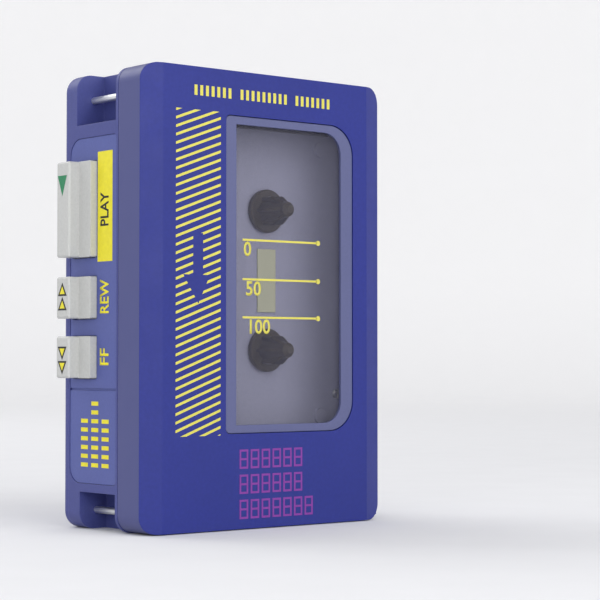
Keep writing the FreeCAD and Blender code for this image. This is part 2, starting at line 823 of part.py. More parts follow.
def window_outline(grow):
    """The window's outer outline, moved outwards by an amount, with rounder right corners."""
    return rectangle(
        f"window_left - ({grow})", f"window_right + ({grow})", f"window_low - ({grow})",
        f"window_high + ({grow})", "window_left_radius", "window_radius", "window_radius",
        "window_left_radius",
    )


def glass_outline(grow):
    """The clear opening's outline, moved outwards by an amount."""
    return rectangle(
        f"glass_left - ({grow})", f"glass_right + ({grow})", f"glass_low - ({grow})",
        f"glass_high + ({grow})", None, "glass_radius", "glass_radius", None,
    )


def make_window():
    """The window frame, let into the door from behind, and the clear pane in its rebate."""
    frame = new_body("window_frame")
    pad(frame, "XZ_Plane", "front + frame_recess", "door_inside", window_outline("-slide_fit"))
    pad(frame, "XZ_Plane", "door_inside", "door_inside + frame_flange",
        window_outline("frame_rebate"))
    cut(frame, "XZ_Plane", "front", "glass_front", glass_outline("0"))
    cut(frame, "XZ_Plane", "glass_front", "door_inside + frame_flange",
        glass_outline("frame_rebate"))
    pane = new_body("window_pane")
    pad(pane, "XZ_Plane", "glass_front", "glass_front + glass_thickness",
        glass_outline("frame_rebate - run_fit"))


def make_cassette_holders():
    """Two channels on the inside of the door, which take the two ends of a cassette."""
    for label, inside, outwards in (
        ("cassette_holder_low", "cassette_low", "-"),
        ("cassette_holder_high", "cassette_high", "+"),
    ):
        body = new_body(label)
        inwards = "+" if outwards == "-" else "-"
        outer = f"{inside} {outwards} holder_wall"
        lip = f"{inside} {inwards} holder_lip"
        pad(body, "YZ_Plane", "left + holder_left", "left + holder_left + holder_width",
            polygon(("door_inside", outer), ("holder_back", outer), ("holder_back", lip),
                    ("holder_back - holder_wall", lip), ("holder_back - holder_wall", inside),
                    ("door_inside", inside)))


def make_hinge_pins():
    """Two steel pins, each through a knuckle and the door's ribs on both sides of it."""
    body = new_body("hinge_pins")
    for low in HINGE_ENDS:
        pad(body, "XY_Plane", f"{low} - hinge_rib",
            f"{low} + knuckle_height + hinge_rib",
            circle("hinge_x", "hinge_y", "hinge_pin_radius"))


def make_rear_cover():
    """The rear cover, rounded at the back, with the battery opening and screw holes."""
    body = new_body("rear_cover")
    pad(body, "XZ_Plane", "seam", "back", rectangle(*CASE_OUTLINE))
    rear = value("back")
    dress(body, "Fillet", "rear_edge", lambda edge: all(v.Y > rear - 0.01 for v in edge.Vertexes))
    cut(body, "XZ_Plane", "seam", "in_back", rectangle(*CASE_INSIDE))
    cut(body, "XZ_Plane", "in_back", "back",
        rectangle("tray_x0 - slide_fit", "tray_x1 + slide_fit", "lid_z0 - slide_fit",
                  "tray_z1 + slide_fit"))
    for x0, x1 in (("tray_x0 - 2 * lid_pin_length", "tray_x0"),
                   ("tray_x1", "tray_x1 + 2 * lid_pin_length")):
        cut(body, "YZ_Plane", x0, x1, circle("lid_hinge_y", "lid_hinge_z", "lid_pin_radius + run_fit"))
    for x, z in BOSSES:
        cut(body, "XZ_Plane", "in_back", "back", circle(x, z, "screw_radius + run_fit"))
        cut(body, "XZ_Plane", "back - screw_head_height", "back",
            circle(x, z, "screw_head_radius + slide_fit"))


def make_battery_lid():
    """The battery lid, hinged on two stub pins at its upper edge."""
    body = new_body("battery_lid")
    pad(body, "XZ_Plane", "lid_y0", "back", rectangle("tray_x0", "tray_x1", "lid_z0", "tray_z1"))
    rear, upper = value("back"), value("tray_z1")
    dress(body, "Fillet", "lid_hinge_radius - run_fit", lambda edge: all(
        v.Y > rear - 0.01 and v.Z > upper - 0.01 for v in edge.Vertexes))
    for x0, x1 in (("tray_x0 - lid_pin_length", "tray_x0"), ("tray_x1", "tray_x1 + lid_pin_length")):
        pad(body, "YZ_Plane", x0, x1, circle("lid_hinge_y", "lid_hinge_z", "lid_pin_radius"))
    # finger notches across the lower edge
    for step in range(LID_GROOVES):
        low = f"lid_z0 + lid_groove_rise + {step} * lid_groove_pitch"
        cut(body, "XZ_Plane", "back - lid_groove", "back",
            rectangle("lid_grip_x", "lid_grip_x + lid_grip_width", low, f"{low} + lid_groove"))


def make_side_panel():
    """The control panel let into the left side, parted by a groove below the keys."""
    body = new_body("side_panel")
    outer = "left + panel_recess"
    pad(body, "YZ_Plane", outer, f"{outer} + panel_thickness", panel_outline("0"))
    for middle, height, _ in KEYS.values():
        cut(body, "YZ_Plane", outer, f"{outer} + panel_thickness", key_opening(middle, height))
    cut(body, "YZ_Plane", outer, f"{outer} + groove_depth",
        rectangle("split", "seam", "groove_above_floor", "groove_above_floor + groove_width"))


def make_strap_bars():
    """A bright steel bar across each strap lug, let into the lug's front and rear walls."""
    body = new_body("strap_bars")
    x = "left + strap_bar_from_side"
    for z, depth in (("top - top_bar_drop", "top_lug_depth"),
                     ("bottom_bar_height", "bottom_lug_depth")):
        pad(body, "XZ_Plane", "split + lug_front", f"split + {depth}",
            circle(x, z, "strap_bar_radius"))


# ---- deck and chassis ----


def plate_outline(body, front, back):
    """A plate that fills the casing, less its two lug corners."""
    pad(body, "XZ_Plane", front, back,
        rectangle("in_left + slide_fit", "in_right - slide_fit", "case_wall + slide_fit",
                  "in_top - slide_fit", "corner_radius - case_wall"))
    lug_x = "left + lug_width + lug_wall + slide_fit"
    cut(body, "XZ_Plane", front, back,
        rectangle("left", lug_x, "top - top_lug_height - lug_wall - slide_fit", "top"))
    cut(body, "XZ_Plane", front, back,
        rectangle("left", lug_x, "0", "bottom_lug_height + lug_wall + slide_fit"))


def tab_slot():
    """The slot that the head plate's tab moves in."""
    return rectangle("tab_x - 3 * slide_fit", "tab_x + plate_thickness + play_travel + 3 * slide_fit",
                     "stem_z - tab_height / 2 - 3 * slide_fit",
                     "stem_z + tab_height / 2 + 3 * slide_fit")


def make_deck_plate():
    """The moulded deck behind the cassette, standing on four spacers."""
    body = new_body("deck_plate")
    plate_outline(body, "deck_front", "deck_back")
    for x, z in BOSSES:
        pad(body, "XZ_Plane", "deck_back", "chassis_front", circle(x, z, "boss_radius"))
    for x, z in BOSSES:
        cut(body, "XZ_Plane", "deck_front", "chassis_front",
            circle(x, z, "screw_radius + seat_fit"))
    # rests that the cassette lies on
    for x in ("reel_x - rest_run", "reel_x + rest_run"):
        for z in ("cassette_low + rest_inset", "cassette_high - rest_inset"):
            pad(body, "XZ_Plane", "deck_front - rest_height", "deck_front",
                circle(x, z, "boss_radius"))
    for z in ("takeup_z", "supply_z"):
        cut(body, "XZ_Plane", "deck_front", "deck_back",
            circle("reel_x", z, "neck_radius + 2 * slide_fit"))
    cut(body, "XZ_Plane", "deck_front", "deck_back",
        circle("capstan_x", "capstan_z", "capstan_radius + 3 * slide_fit"))
    cut(body, "XZ_Plane", "deck_front", "deck_back", tab_slot())
    cut(body, "XZ_Plane", "deck_front", "deck_back",
        rectangle("latch_x - latch_width / 2 - 3 * slide_fit",
                  "latch_x + latch_width / 2 + 2 * slide_fit", "catch_z - 2 * slide_fit",
                  "catch_z + catch_thickness + 2 * slide_fit"))


def make_sight_plate():
    """The light strip between the spindles, against which the tape left can be seen."""
    body = new_body("sight_plate")
    x = "reel_x - sight_left"
    pad(body, "XZ_Plane", "deck_front - sight_thickness", "deck_front",
        rectangle(x, f"{x} + sight_width", "reels_z - sight_height / 2",
                  "reels_z + sight_height / 2"))


def make_chassis_plate():
    """The steel plate behind the gears, which carries reels, capstan and motor."""
    body = new_body("chassis_plate")
    plate_outline(body, "chassis_front", "chassis_back")
    for x, z in BOSSES:
        cut(body, "XZ_Plane", "chassis_front", "chassis_back",
            circle(x, z, "screw_radius + seat_fit"))
    for z in ("takeup_z", "supply_z"):
        cut(body, "XZ_Plane", "chassis_front", "chassis_back",
            circle("reel_x", z, "reel_post_radius + seat_fit"))
    cut(body, "XZ_Plane", "chassis_front", "chassis_back",
        circle("idler_x", "idler_z", "idler_pin_radius + seat_fit"))
    cut(body, "XZ_Plane", "chassis_front", "chassis_back",
        circle("capstan_x", "capstan_z", "bearing_radius + seat_fit"))
    cut(body, "XZ_Plane", "chassis_front", "chassis_back", tab_slot())
    cut(body, "XZ_Plane", "chassis_front", "chassis_back",
        rectangle("latch_x - latch_width", "latch_x + latch_width", "latch_low - stop_travel",
                  "in_top"))


def make_reel_posts():
    """The two fixed steel posts that the reel spindles turn on."""
    body = new_body("reel_posts")
    for z in ("takeup_z", "supply_z"):
        pad(body, "XZ_Plane", "deck_front - reel_post_reach", "chassis_back",
            circle("reel_x", z, "reel_post_radius"))


def make_spindle(label, z):
    """A reel spindle: a flange and a tapered six-finned core, blind at the tip."""
    body = new_body(label)
    base = "deck_front - spindle_gap"
    step = f"{base} - spindle_base_height"
    tip = "deck_front - spindle_reach"
    revolve(body, ("reel_post_radius + run_fit", base), ("spindle_base_radius", base),
            ("spindle_base_radius", f"{step} + spindle_gap"),
            ("spindle_base_radius - spindle_gap", step), ("spindle_root_radius", step),
            ("spindle_tip_radius", f"{tip} + spindle_tip_radius / 2"),
            ("spindle_tip_radius / 2", tip), ("0", tip),
            ("0", "deck_front - reel_post_reach - slide_fit"),
            ("reel_post_radius + run_fit", "deck_front - reel_post_reach - slide_fit"))
    fin = pad(body, "XY_Plane", "-fin_width / 2", "fin_width / 2",
              polygon(("fin_inside", step), ("fin_reach", step),
                      ("fin_reach", f"{step} - fin_length / 2"),
                      ("spindle_tip_radius", f"{step} - fin_length"),
                      ("fin_inside", f"{step} - fin_length")))
    doc.recompute()
    repeat_round(body, [fin], "spindle_fins")
    place(body, "reel_x", "0", z)


def tooth(body, front, back, pitch_radius):
    """One gear tooth, pointing along X."""
    root = f"{pitch_radius} - tooth_dedendum"
    tip = f"{pitch_radius} + tooth_addendum"
    return pad(body, "XZ_Plane", front, back,
               polygon((f"{root} - tooth_addendum", "-tooth_root / 2"), (root, "-tooth_root / 2"),
                       (tip, "-tooth_tip / 2"), (tip, "tooth_tip / 2"),
                       (root, "tooth_root / 2"), (f"{root} - tooth_addendum", "tooth_root / 2")))


def gear(label, teeth, bore, x, z, phase, neck=None):
    """A spur gear behind the deck, its first tooth turned to a phase so that the train meshes."""
    body = new_body(label)
    pitch_radius = f"gear_module * {teeth} / 2"
    hole = [circle("0", "0", bore)] if bore else []
    pad(body, "XZ_Plane", "gear_front", "gear_back",
        circle("0", "0", f"{pitch_radius} - tooth_dedendum"), *hole)
    if neck:
        pad(body, "XZ_Plane", "deck_front - spindle_gap", "gear_front",
            circle("0", "0", neck), *hole)
    first = tooth(body, "gear_front", "gear_back", pitch_radius)
    doc.recompute()
    repeat_round(body, [first], teeth)
    turn(body, Vector(0, -1, 0), phase)
    place(body, x, "0", z)
    return body


def make_gears():
    """The train from the capstan's pinion over an idler to the take-up reel, and the supply gear.

    The idler stands on the line between capstan and reel, or below it when the gears are too
    large for the run between them. A tooth of each gear points where the next gear has a gap."""
    bore = "reel_post_radius + run_fit"
    to_reel = "(train_lean + reel_bend)"
    to_idler = "(train_lean - pinion_bend)"
    idler_phase = f"({to_reel} + 180 deg / idler_teeth)"
    gear("takeup_gear", "reel_teeth", bore, "reel_x", "takeup_z", f"{to_reel} + 180 deg",
         "neck_radius")
    gear("supply_gear", "reel_teeth", bore, "reel_x", "supply_z", "train_lean", "neck_radius")
    gear("idler_gear", "idler_teeth", "idler_pin_radius + run_fit", "idler_x", "idler_z",
         idler_phase)
    gear("capstan_pinion", "pinion_teeth", "capstan_radius + seat_fit", "capstan_x", "capstan_z",
         f"{to_idler} - 180 deg / pinion_teeth"
         f" + ({to_idler} + 180 deg - {idler_phase}) * idler_teeth / pinion_teeth")
    post = new_body("idler_post")
    pad(post, "XZ_Plane", "gear_front - slide_fit", "chassis_back",
        circle("0", "0", "idler_pin_radius"))
    pad(post, "XZ_Plane", "gear_front - 2 * slide_fit", "gear_front - slide_fit",
        circle("0", "0", "idler_pin_head"))
    place(post, "idler_x", "0", "idler_z")


# ---- capstan drive ----


def make_capstan():
    """Capstan shaft, its bearing, the flywheel with its belt groove and the thrust bridge."""
    shaft = new_body("capstan_shaft")
    pad(shaft, "XZ_Plane", "deck_front - capstan_reach", "shaft_end",
        circle("0", "0", "capstan_radius"))
    place(shaft, "capstan_x", "0", "capstan_z")
    bearing = new_body("capstan_bearing")
    pad(bearing, "XZ_Plane", "gear_back + slide_fit", "chassis_back + bearing_overhang",
        circle("0", "0", "bearing_radius"), circle("0", "0", "capstan_radius + run_fit"))
    place(bearing, "capstan_x", "0", "capstan_z")
    wheel = new_body("flywheel")
    rim_in = "flywheel_radius - flywheel_rim"
    groove = "flywheel_radius - belt_groove"
    half = "(belt_size / 2 + belt_side_gap)"
    hub = "capstan_radius + seat_fit"
    web_back = "flywheel_front + flywheel_web"
    revolve(wheel, (hub, "flywheel_front"), ("flywheel_radius", "flywheel_front"),
            ("flywheel_radius", f"belt_y - {half}"), (groove, f"belt_y - {half}"),
            (groove, f"belt_y + {half}"), ("flywheel_radius", f"belt_y + {half}"),
            ("flywheel_radius", "flywheel_back"), (rim_in, "flywheel_back"), (rim_in, web_back),
            ("flywheel_boss", web_back), ("flywheel_boss", "flywheel_back"),
            (hub, "flywheel_back"))
    place(wheel, "capstan_x", "0", "capstan_z")
    bridge = new_body("flywheel_bridge")
    pad(bridge, "XZ_Plane", "bridge_front", "bridge_front + bridge_thickness",
        rectangle("-bridge_half_width", "bridge_half_width", "-bridge_reach", "bridge_reach",
                  "bridge_half_width / 2"))
    for z in ("bridge_half_width - bridge_reach", "bridge_reach - bridge_half_width"):
        pad(bridge, "XZ_Plane", "chassis_back", "bridge_front", circle("0", z, "bridge_foot"))
    place(bridge, "capstan_x", "0", "capstan_z")


def make_drive_belt():
    """The square rubber belt round the flywheel and the motor pulley."""
    flywheel = Vector(value("capstan_x"), 0, value("capstan_z"))
    pulley = Vector(value("motor_x"), 0, value("motor_z"))
    seat = value("flywheel_radius - belt_groove + 2 * run_fit")
    small = value("pulley_radius - belt_groove + 2 * run_fit")
    size = value("belt_size")

    def loop(extra):
        """The taut loop round both wheels, at a distance from the belt's inner side."""
        run = pulley - flywheel
        big_radius, small_radius = seat + extra, small + extra
        aim = math.atan2(run.z, run.x)
        lean = math.acos((big_radius - small_radius) / run.Length)

        def rim(centre, radius, angle):
            return centre + Vector(radius * math.cos(angle), 0, radius * math.sin(angle))

        over = [rim(flywheel, big_radius, aim + lean), rim(pulley, small_radius, aim + lean)]
        under = [rim(pulley, small_radius, aim - lean), rim(flywheel, big_radius, aim - lean)]
        far_side = rim(pulley, small_radius, aim)
        near_side = rim(flywheel, big_radius, aim + math.pi)
        return Part.Face(Part.Wire([
            Part.LineSegment(*over).toShape(),
            Part.Arc(over[1], far_side, under[0]).toShape(),
            Part.LineSegment(*under).toShape(),
            Part.Arc(under[1], near_side, over[0]).toShape(),
        ]))

    ring = loop(size).extrude(Vector(0, size, 0)).cut(loop(0).extrude(Vector(0, size, 0)))
    belt = doc.addObject("Part::Feature", "drive_belt")
    belt.Label = "drive_belt"
    belt.Shape = ring.Solids[0]
    belt.Placement = Placement(Vector(0, value("belt_y") - size / 2, 0), Rotation())
    subparts.append(belt)


def make_motor():
    """The motor with its shaft and pulley, on a bracket that stands on the chassis plate."""
    can = new_body("motor")
    revolve(can, ("motor_shaft_radius + run_fit", "motor_front"), ("motor_radius", "motor_front"),
            ("motor_radius", "motor_back"), ("0", "motor_back"),
            ("0", "motor_back - motor_length / 2"),
            ("motor_shaft_radius + run_fit", "motor_back - motor_length / 2"))
    place(can, "motor_x", "0", "motor_z")
    bracket = new_body("motor_bracket")
    pad(bracket, "XZ_Plane", "bracket_front", "motor_front",
        rectangle("-bracket_half_width", "bracket_half_width", "-bracket_half_width",
                  "bracket_half_width", "bracket_foot_radius"),
        circle("0", "0", "pulley_radius + slide_fit"))
    foot = "bracket_foot_run"
    for x, z in ((foot, foot), (foot, f"-{foot}"), (f"-{foot}", foot)):
        pad(bracket, "XZ_Plane", "chassis_back", "bracket_front",
            circle(x, z, "bracket_foot_radius"))
    place(bracket, "motor_x", "0", "motor_z")
    shaft = new_body("motor_shaft")
    pulley_front = "belt_y - pulley_width / 2"
    pad(shaft, "XZ_Plane", pulley_front, "motor_back - motor_length / 2 - slide_fit",
        circle("0", "0", "motor_shaft_radius"))
    place(shaft, "motor_x", "0", "motor_z")
    pulley = new_body("motor_pulley")
    groove = "pulley_radius - belt_groove"
    half = "(belt_size / 2 + belt_side_gap)"
    bore = "motor_shaft_radius + seat_fit"
    revolve(pulley, (bore, pulley_front), ("pulley_radius", pulley_front),
            ("pulley_radius", f"belt_y - {half}"), (groove, f"belt_y - {half}"),
            (groove, f"belt_y + {half}"), ("pulley_radius", f"belt_y + {half}"),
            ("pulley_radius", "belt_y + pulley_width / 2"), (bore, "belt_y + pulley_width / 2"))
    place(pulley, "motor_x", "0", "motor_z")


# ---- head plate and pinch roller ----


def guide_points():
    """Where the head plate's two guide pins stand."""
    x = "plate_x + plate_width - 2 * guide_pin_head"
    rise = "plate_height / 2 - 2 * guide_pin_head"
    return ((x, f"reels_z - ({rise})"), (x, f"reels_z + {rise}"))


def make_head_plate():
    """The sliding plate, with guide slots, a lanced tab for the play key and the head's foot."""
    body = new_body("head_plate")
    pad(body, "XZ_Plane", "plate_front", "plate_back",
        rectangle("plate_x", "plate_x + plate_width", "reels_z - plate_height / 2",
                  "reels_z + plate_height / 2", "guide_pin_head"))
    for x, z in guide_points():
        radius = "plate_slot_radius"
        cut(body, "XZ_Plane", "plate_front", "plate_back",
            rectangle(f"{x} - play_travel - {radius}", f"{x} + {radius}", f"{z} - {radius}",
                      f"{z} + {radius}", "plate_slot_corner"))
    pad(body, "XZ_Plane", "plate_back", "plate_back + tab_reach",
        rectangle("tab_x", "tab_x + plate_thickness", "stem_z - tab_height / 2",
                  "stem_z + tab_height / 2"))
    pad(body, "XZ_Plane", "plate_front - head_foot", "plate_front",
        rectangle("head_face - head_length", "head_face - head_foot",
                  "reels_z - head_height / 2", "reels_z + head_height / 2"))
    pins = new_body("plate_guide_pins")
    for x, z in guide_points():
        pad(pins, "XZ_Plane", "plate_front - slide_fit", "deck_front",
            circle(x, z, "guide_pin_radius"))
        pad(pins, "XZ_Plane", "plate_front - plate_thickness", "plate_front - slide_fit",
            circle(x, z, "guide_pin_head"))


def make_playback_head():
    """The playback head: a block with a curved face towards the tape and a gap line down it."""
    body = new_body("playback_head")
    back = "plate_front - head_foot"
    front = f"{back} - head_depth"
    pad(body, "XZ_Plane", front, back,
        rectangle("head_face - head_length", "head_face", "reels_z - head_height / 2",
                  "reels_z + head_height / 2", None, "head_corner", "head_corner", None))
    cut(body, "XZ_Plane", front, back,
        rectangle("head_face - gap_line_depth", "head_face", "reels_z - gap_line / 2",
                  "reels_z + gap_line / 2"))


def make_pinch_roller():
    """The pinch roller's arm, pivoting on a post in front of the deck, and its rubber roller."""
    post = new_body("arm_post")
    pad(post, "XZ_Plane", "arm_front - 2 * slide_fit", "deck_front",
        circle("0", "0", "arm_pin_radius"))
    pad(post, "XZ_Plane", "arm_front - plate_thickness - slide_fit", "arm_front - slide_fit",
        circle("0", "0", "arm_half_width"))
    place(post, "pivot_x", "0", "pivot_z")
    arm = new_body("pinch_arm")
    pad(arm, "XZ_Plane", "arm_front", "arm_back",
        rectangle("-arm_half_width", "arm_half_width", "-arm_half_width",
                  "arm_length + arm_half_width", "arm_end_radius"))
    pad(arm, "XZ_Plane", "arm_back", "deck_front - plate_gap",
        circle("0", "0", "arm_half_width"))
    cut(arm, "XZ_Plane", "arm_front", "deck_front",
        circle("0", "0", "arm_pin_radius + run_fit"))
    pad(arm, "XZ_Plane", "roller_front - plate_thickness", "arm_front",
        circle("0", "arm_length", "arm_pin_radius"))
    turn(arm, Vector(0, 1, 0), "arm_rest_lean * 1 deg")
    place(arm, "pivot_x", "0", "pivot_z")
    roller = new_body("pinch_roller")
    pad(roller, "XZ_Plane", "roller_front", "roller_front + roller_height",
        circle("0", "0", "roller_radius"), circle("0", "0", "arm_pin_radius + run_fit"))
    place(roller, "pivot_x + arm_length * sin(arm_rest_lean)", "0",
          "pivot_z + arm_length * cos(arm_rest_lean)")


# ---- keys ----


def make_side_keys():
    """The three keys on the left side, each with a step, a flange, a stem and a return spring."""
    for label, (middle, height, stem) in KEYS.items():
        body = new_body(label)
        low, high = f"{middle} - {height} / 2", f"{middle} + {height} / 2"
        pad(body, "YZ_Plane", "left - key_step_proud", "flange_x",
            rectangle("key_y0", "key_y1", low, high, "key_edge"))
        pad(body, "YZ_Plane", "left - key_proud", "left - key_step_proud",
            rectangle("key_y0 + key_step_depth", "key_y1", low, high, "key_edge"))
        outer = value("left - key_proud")
        dress(body, "Chamfer", "key_edge", lambda edge: all(
            v.X < outer + 0.01 for v in edge.Vertexes))
        pad(body, "YZ_Plane", "flange_x", "flange_back",
            rectangle("key_y0 - key_flange", "key_y1 + key_flange", f"{low} - key_flange",
                      f"{high} + key_flange"))
        pad(body, "YZ_Plane", "flange_back", "tab_x - 2 * slide_fit",
            rectangle("stem_y - stem_depth / 2", "stem_y + stem_depth / 2",
                      f"{stem} - stem_height / 2", f"{stem} + stem_height / 2"))
        spring = new_body(f"{label}_spring")
        pad(spring, "YZ_Plane", "flange_back", "guide_x",
            circle("stem_y", stem, "spring_radius"),
            circle("stem_y", stem, "spring_radius - spring_wall"))


def make_key_guide():
    """The steel angle that guides the key stems, standing on the chassis plate."""
    body = new_body("key_guide")
    low = "reels_z - ff_key_below - small_key_height"
    high = "reels_z + play_key_above + small_key_height"
    pad(body, "YZ_Plane", "guide_x", "guide_x + guide_thickness",
        rectangle("chassis_back", "key_y1", low, high))
    pad(body, "YZ_Plane", "guide_x", "tab_x - 4 * slide_fit",
        rectangle("chassis_back", "chassis_back + guide_thickness", low, high))
    for _, _, stem in KEYS.values():
        cut(body, "YZ_Plane", "guide_x", "guide_x + guide_thickness",
            rectangle("stem_y - stem_depth / 2 - slide_fit", "stem_y + stem_depth / 2 + slide_fit",
                      f"{stem} - stem_height / 2 - slide_fit",
                      f"{stem} + stem_height / 2 + slide_fit"))


def make_stop_key():
    """The stop key on the top, with the leg that carries the latch for the door."""
    body = new_body("stop_key")
    x0, x1 = "stop_x", "stop_x + stop_key_width"
    y0, y1 = "stop_y", "stop_y + stop_key_depth"
    flange_top = "in_top - key_flange_gap"
    pad(body, "XY_Plane", flange_top, "top + stop_key_proud",
        rectangle(x0, x1, y0, y1, "key_edge"))
    crown = value("top + stop_key_proud")
    dress(body, "Chamfer", "key_edge", lambda edge: all(v.Z > crown - 0.01 for v in edge.Vertexes))
    pad(body, "XY_Plane", f"{flange_top} - key_flange_thickness", flange_top,
        rectangle(f"{x0} - key_flange", f"{x1} + key_flange", f"{y0} - key_flange",
                  f"{y1} + key_flange"))
    pad(body, "XY_Plane", "latch_low", f"{flange_top} - key_flange_thickness",
        rectangle("latch_x - latch_width / 2", "latch_x + latch_width / 2",
                  "latch_y + latch_thickness", "stop_y + stop_key_depth / 2"))
    latch = new_body("eject_latch")
    pad(latch, "XZ_Plane", "latch_y", "latch_y + latch_thickness",
        rectangle("latch_x - latch_width", "latch_x + latch_width", "latch_low - latch_height",
                  "catch_z - 2 * slide_fit"))


# ---- sockets, wheel, switch and lamp ----


def make_headphone_jack():
    """The headphone socket: a body under the top wall, its neck through it, and a bright nut."""
    jack = new_body("headphone_jack")
    half = "jack_body / 2"
    pad(jack, "XY_Plane", "in_top - jack_length", "in_top",
        rectangle(f"jack_x - {half}", f"jack_x + {half}", f"jack_y - {half}", f"jack_y + {half}"))
    pad(jack, "XY_Plane", "in_top", "top + jack_proud", circle("jack_x", "jack_y", "jack_neck"))
    cut(jack, "XY_Plane", "top + jack_proud - plug_depth", "top + jack_proud",
        circle("jack_x", "jack_y", "plug_radius"))
    nut = new_body("jack_nut")
    pad(nut, "XY_Plane", "top", "top + jack_proud", circle("jack_x", "jack_y", "jack_nut_radius"),
        circle("jack_x", "jack_y", "jack_neck + seat_fit"))


def make_power_jack():
    """The battery-eliminator socket on the right side, with its centre pin."""
    body = new_body("power_jack")
    half = "power_jack_body / 2"
    pad(body, "YZ_Plane", "in_right - power_jack_depth - case_wall", "in_right",
        rectangle(f"jack_y - {half}", f"jack_y + {half}", f"power_z - {half}",
                  f"power_z + {half}"))
    cut(body, "YZ_Plane", "in_right - power_jack_depth", "in_right",
        circle("jack_y", "power_z", "power_jack_radius"))
    pad(body, "YZ_Plane", "in_right - power_jack_depth - case_wall / 2", "in_right",
        circle("jack_y", "power_z", "power_pin_radius"))


def make_volume_wheel():
    """The ribbed volume wheel, whose rim shows through the right side, and its control."""
    wheel = new_body("volume_wheel")
    pad(wheel, "XZ_Plane", "volume_y", "volume_y + volume_thickness",
        circle("0", "0", "volume_radius - volume_rib"))
    rib = pad(wheel, "XZ_Plane", "volume_y", "volume_y + volume_thickness",
              polygon(("volume_radius - 2 * volume_rib", "-volume_rib"),
                      ("volume_radius - volume_rib", "-volume_rib"),
                      ("volume_radius", "-volume_rib / 2"), ("volume_radius", "volume_rib / 2"),
                      ("volume_radius - volume_rib", "volume_rib"),
                      ("volume_radius - 2 * volume_rib", "volume_rib")))
    doc.recompute()
    repeat_round(wheel, [rib], "volume_ribs")
    axle_end = "board_front - volume_pot_floor - slide_fit"
    pad(wheel, "XZ_Plane", "volume_y + volume_thickness", axle_end,
        circle("0", "0", "volume_axle"))
    place(wheel, "volume_x", "0", "volume_z")
    control = new_body("volume_pot")
    revolve(control, ("volume_axle + run_fit", "volume_y + volume_thickness + 2 * slide_fit"),
            ("volume_pot_radius", "volume_y + volume_thickness + 2 * slide_fit"),
            ("volume_pot_radius", "board_front"), ("0", "board_front"),
            ("0", "board_front - volume_pot_floor"),
            ("volume_axle + run_fit", "board_front - volume_pot_floor"))
    place(control, "volume_x", "0", "volume_z")


def make_tape_switch():
    """The tape type switch on the right side: a sliding knob in a switch body."""
    knob = new_body("tape_switch")
    pad(knob, "YZ_Plane", "switch_floor + slide_fit", "right + switch_proud",
        rectangle("switch_y", "switch_y + switch_width", "switch_z",
                  "switch_z + switch_knob"))
    housing = new_body("switch_body")
    around = "switch_width / 2"
    pad(housing, "YZ_Plane", "switch_floor - switch_width", "in_right",
        rectangle(f"switch_y - {around}", f"switch_y + switch_width + {around}",
                  f"switch_z - {around}",
                  f"switch_z + switch_knob + switch_travel + {around}"))
    cut(housing, "YZ_Plane", "switch_floor", "in_right",
        rectangle("switch_y - slide_fit", "switch_y + switch_width + slide_fit",
                  "switch_z - slide_fit",
                  "switch_z + switch_knob + switch_travel + slide_fit"))


def make_power_lamp():
    """The small lamp beside the headphone socket, with a bevelled lens."""
    body = new_body("power_lamp")
    pad(body, "XY_Plane", "in_top - lamp_length", "top + lamp_radius / 2",
        circle("lamp_x", "jack_y", "lamp_radius"))
    crown = value("top + lamp_radius / 2")
    dress(body, "Chamfer", "lamp_bevel", lambda edge: all(
        v.Z > crown - 0.01 for v in edge.Vertexes))
    pad(body, "XY_Plane", "in_top - lamp_length / 2", "in_top",
        circle("lamp_x", "jack_y", "lamp_flange_radius"))


# ---- batteries and circuit board ----


def make_battery_tray():
    """The tray for two cells side by side, open at the back, and the contacts at its ends."""
    tray = new_body("battery_tray")
    tray_back = "in_back - tray_gap"
    pad(tray, "XZ_Plane", "tray_y0", tray_back,
        rectangle("tray_x0", "tray_x1", "tray_z0", "tray_z1", "tray_corner"))
    cut(tray, "XZ_Plane", "tray_y0 + tray_wall", tray_back,
        rectangle("tray_x0 + tray_wall", "tray_x1 - tray_wall", "tray_z0 + tray_wall",
                  "tray_z1 - tray_wall"))
    cut(tray, "XZ_Plane", f"{tray_back} - tray_wall", tray_back,
        rectangle("tray_x0", "tray_x1", "tray_z1 - 2 * tray_wall", "tray_z1"))
    contacts = new_body("battery_contacts")
    middle_y = "tray_y0 + tray_wall + cell_diameter / 2"
    lower = "tray_z0 + tray_wall + cell_diameter / 2"
    upper = "tray_z1 - tray_wall - cell_diameter / 2"
    width = "contact_reach"
    low, high = f"{lower} - {width}", f"{upper} + {width}"
    near, far = "tray_x0 + tray_wall", "tray_x1 - tray_wall"
    pad(contacts, "YZ_Plane", near, f"{near} + contact_thickness",
        rectangle(f"{middle_y} - {width}", f"{middle_y} + {width}", low, high))
    for z in (lower, upper):
        pad(contacts, "YZ_Plane", f"{far} - contact_thickness", far,
            rectangle(f"{middle_y} - {width}", f"{middle_y} + {width}", f"{z} - {width}",
                      f"{z} + {width}"))


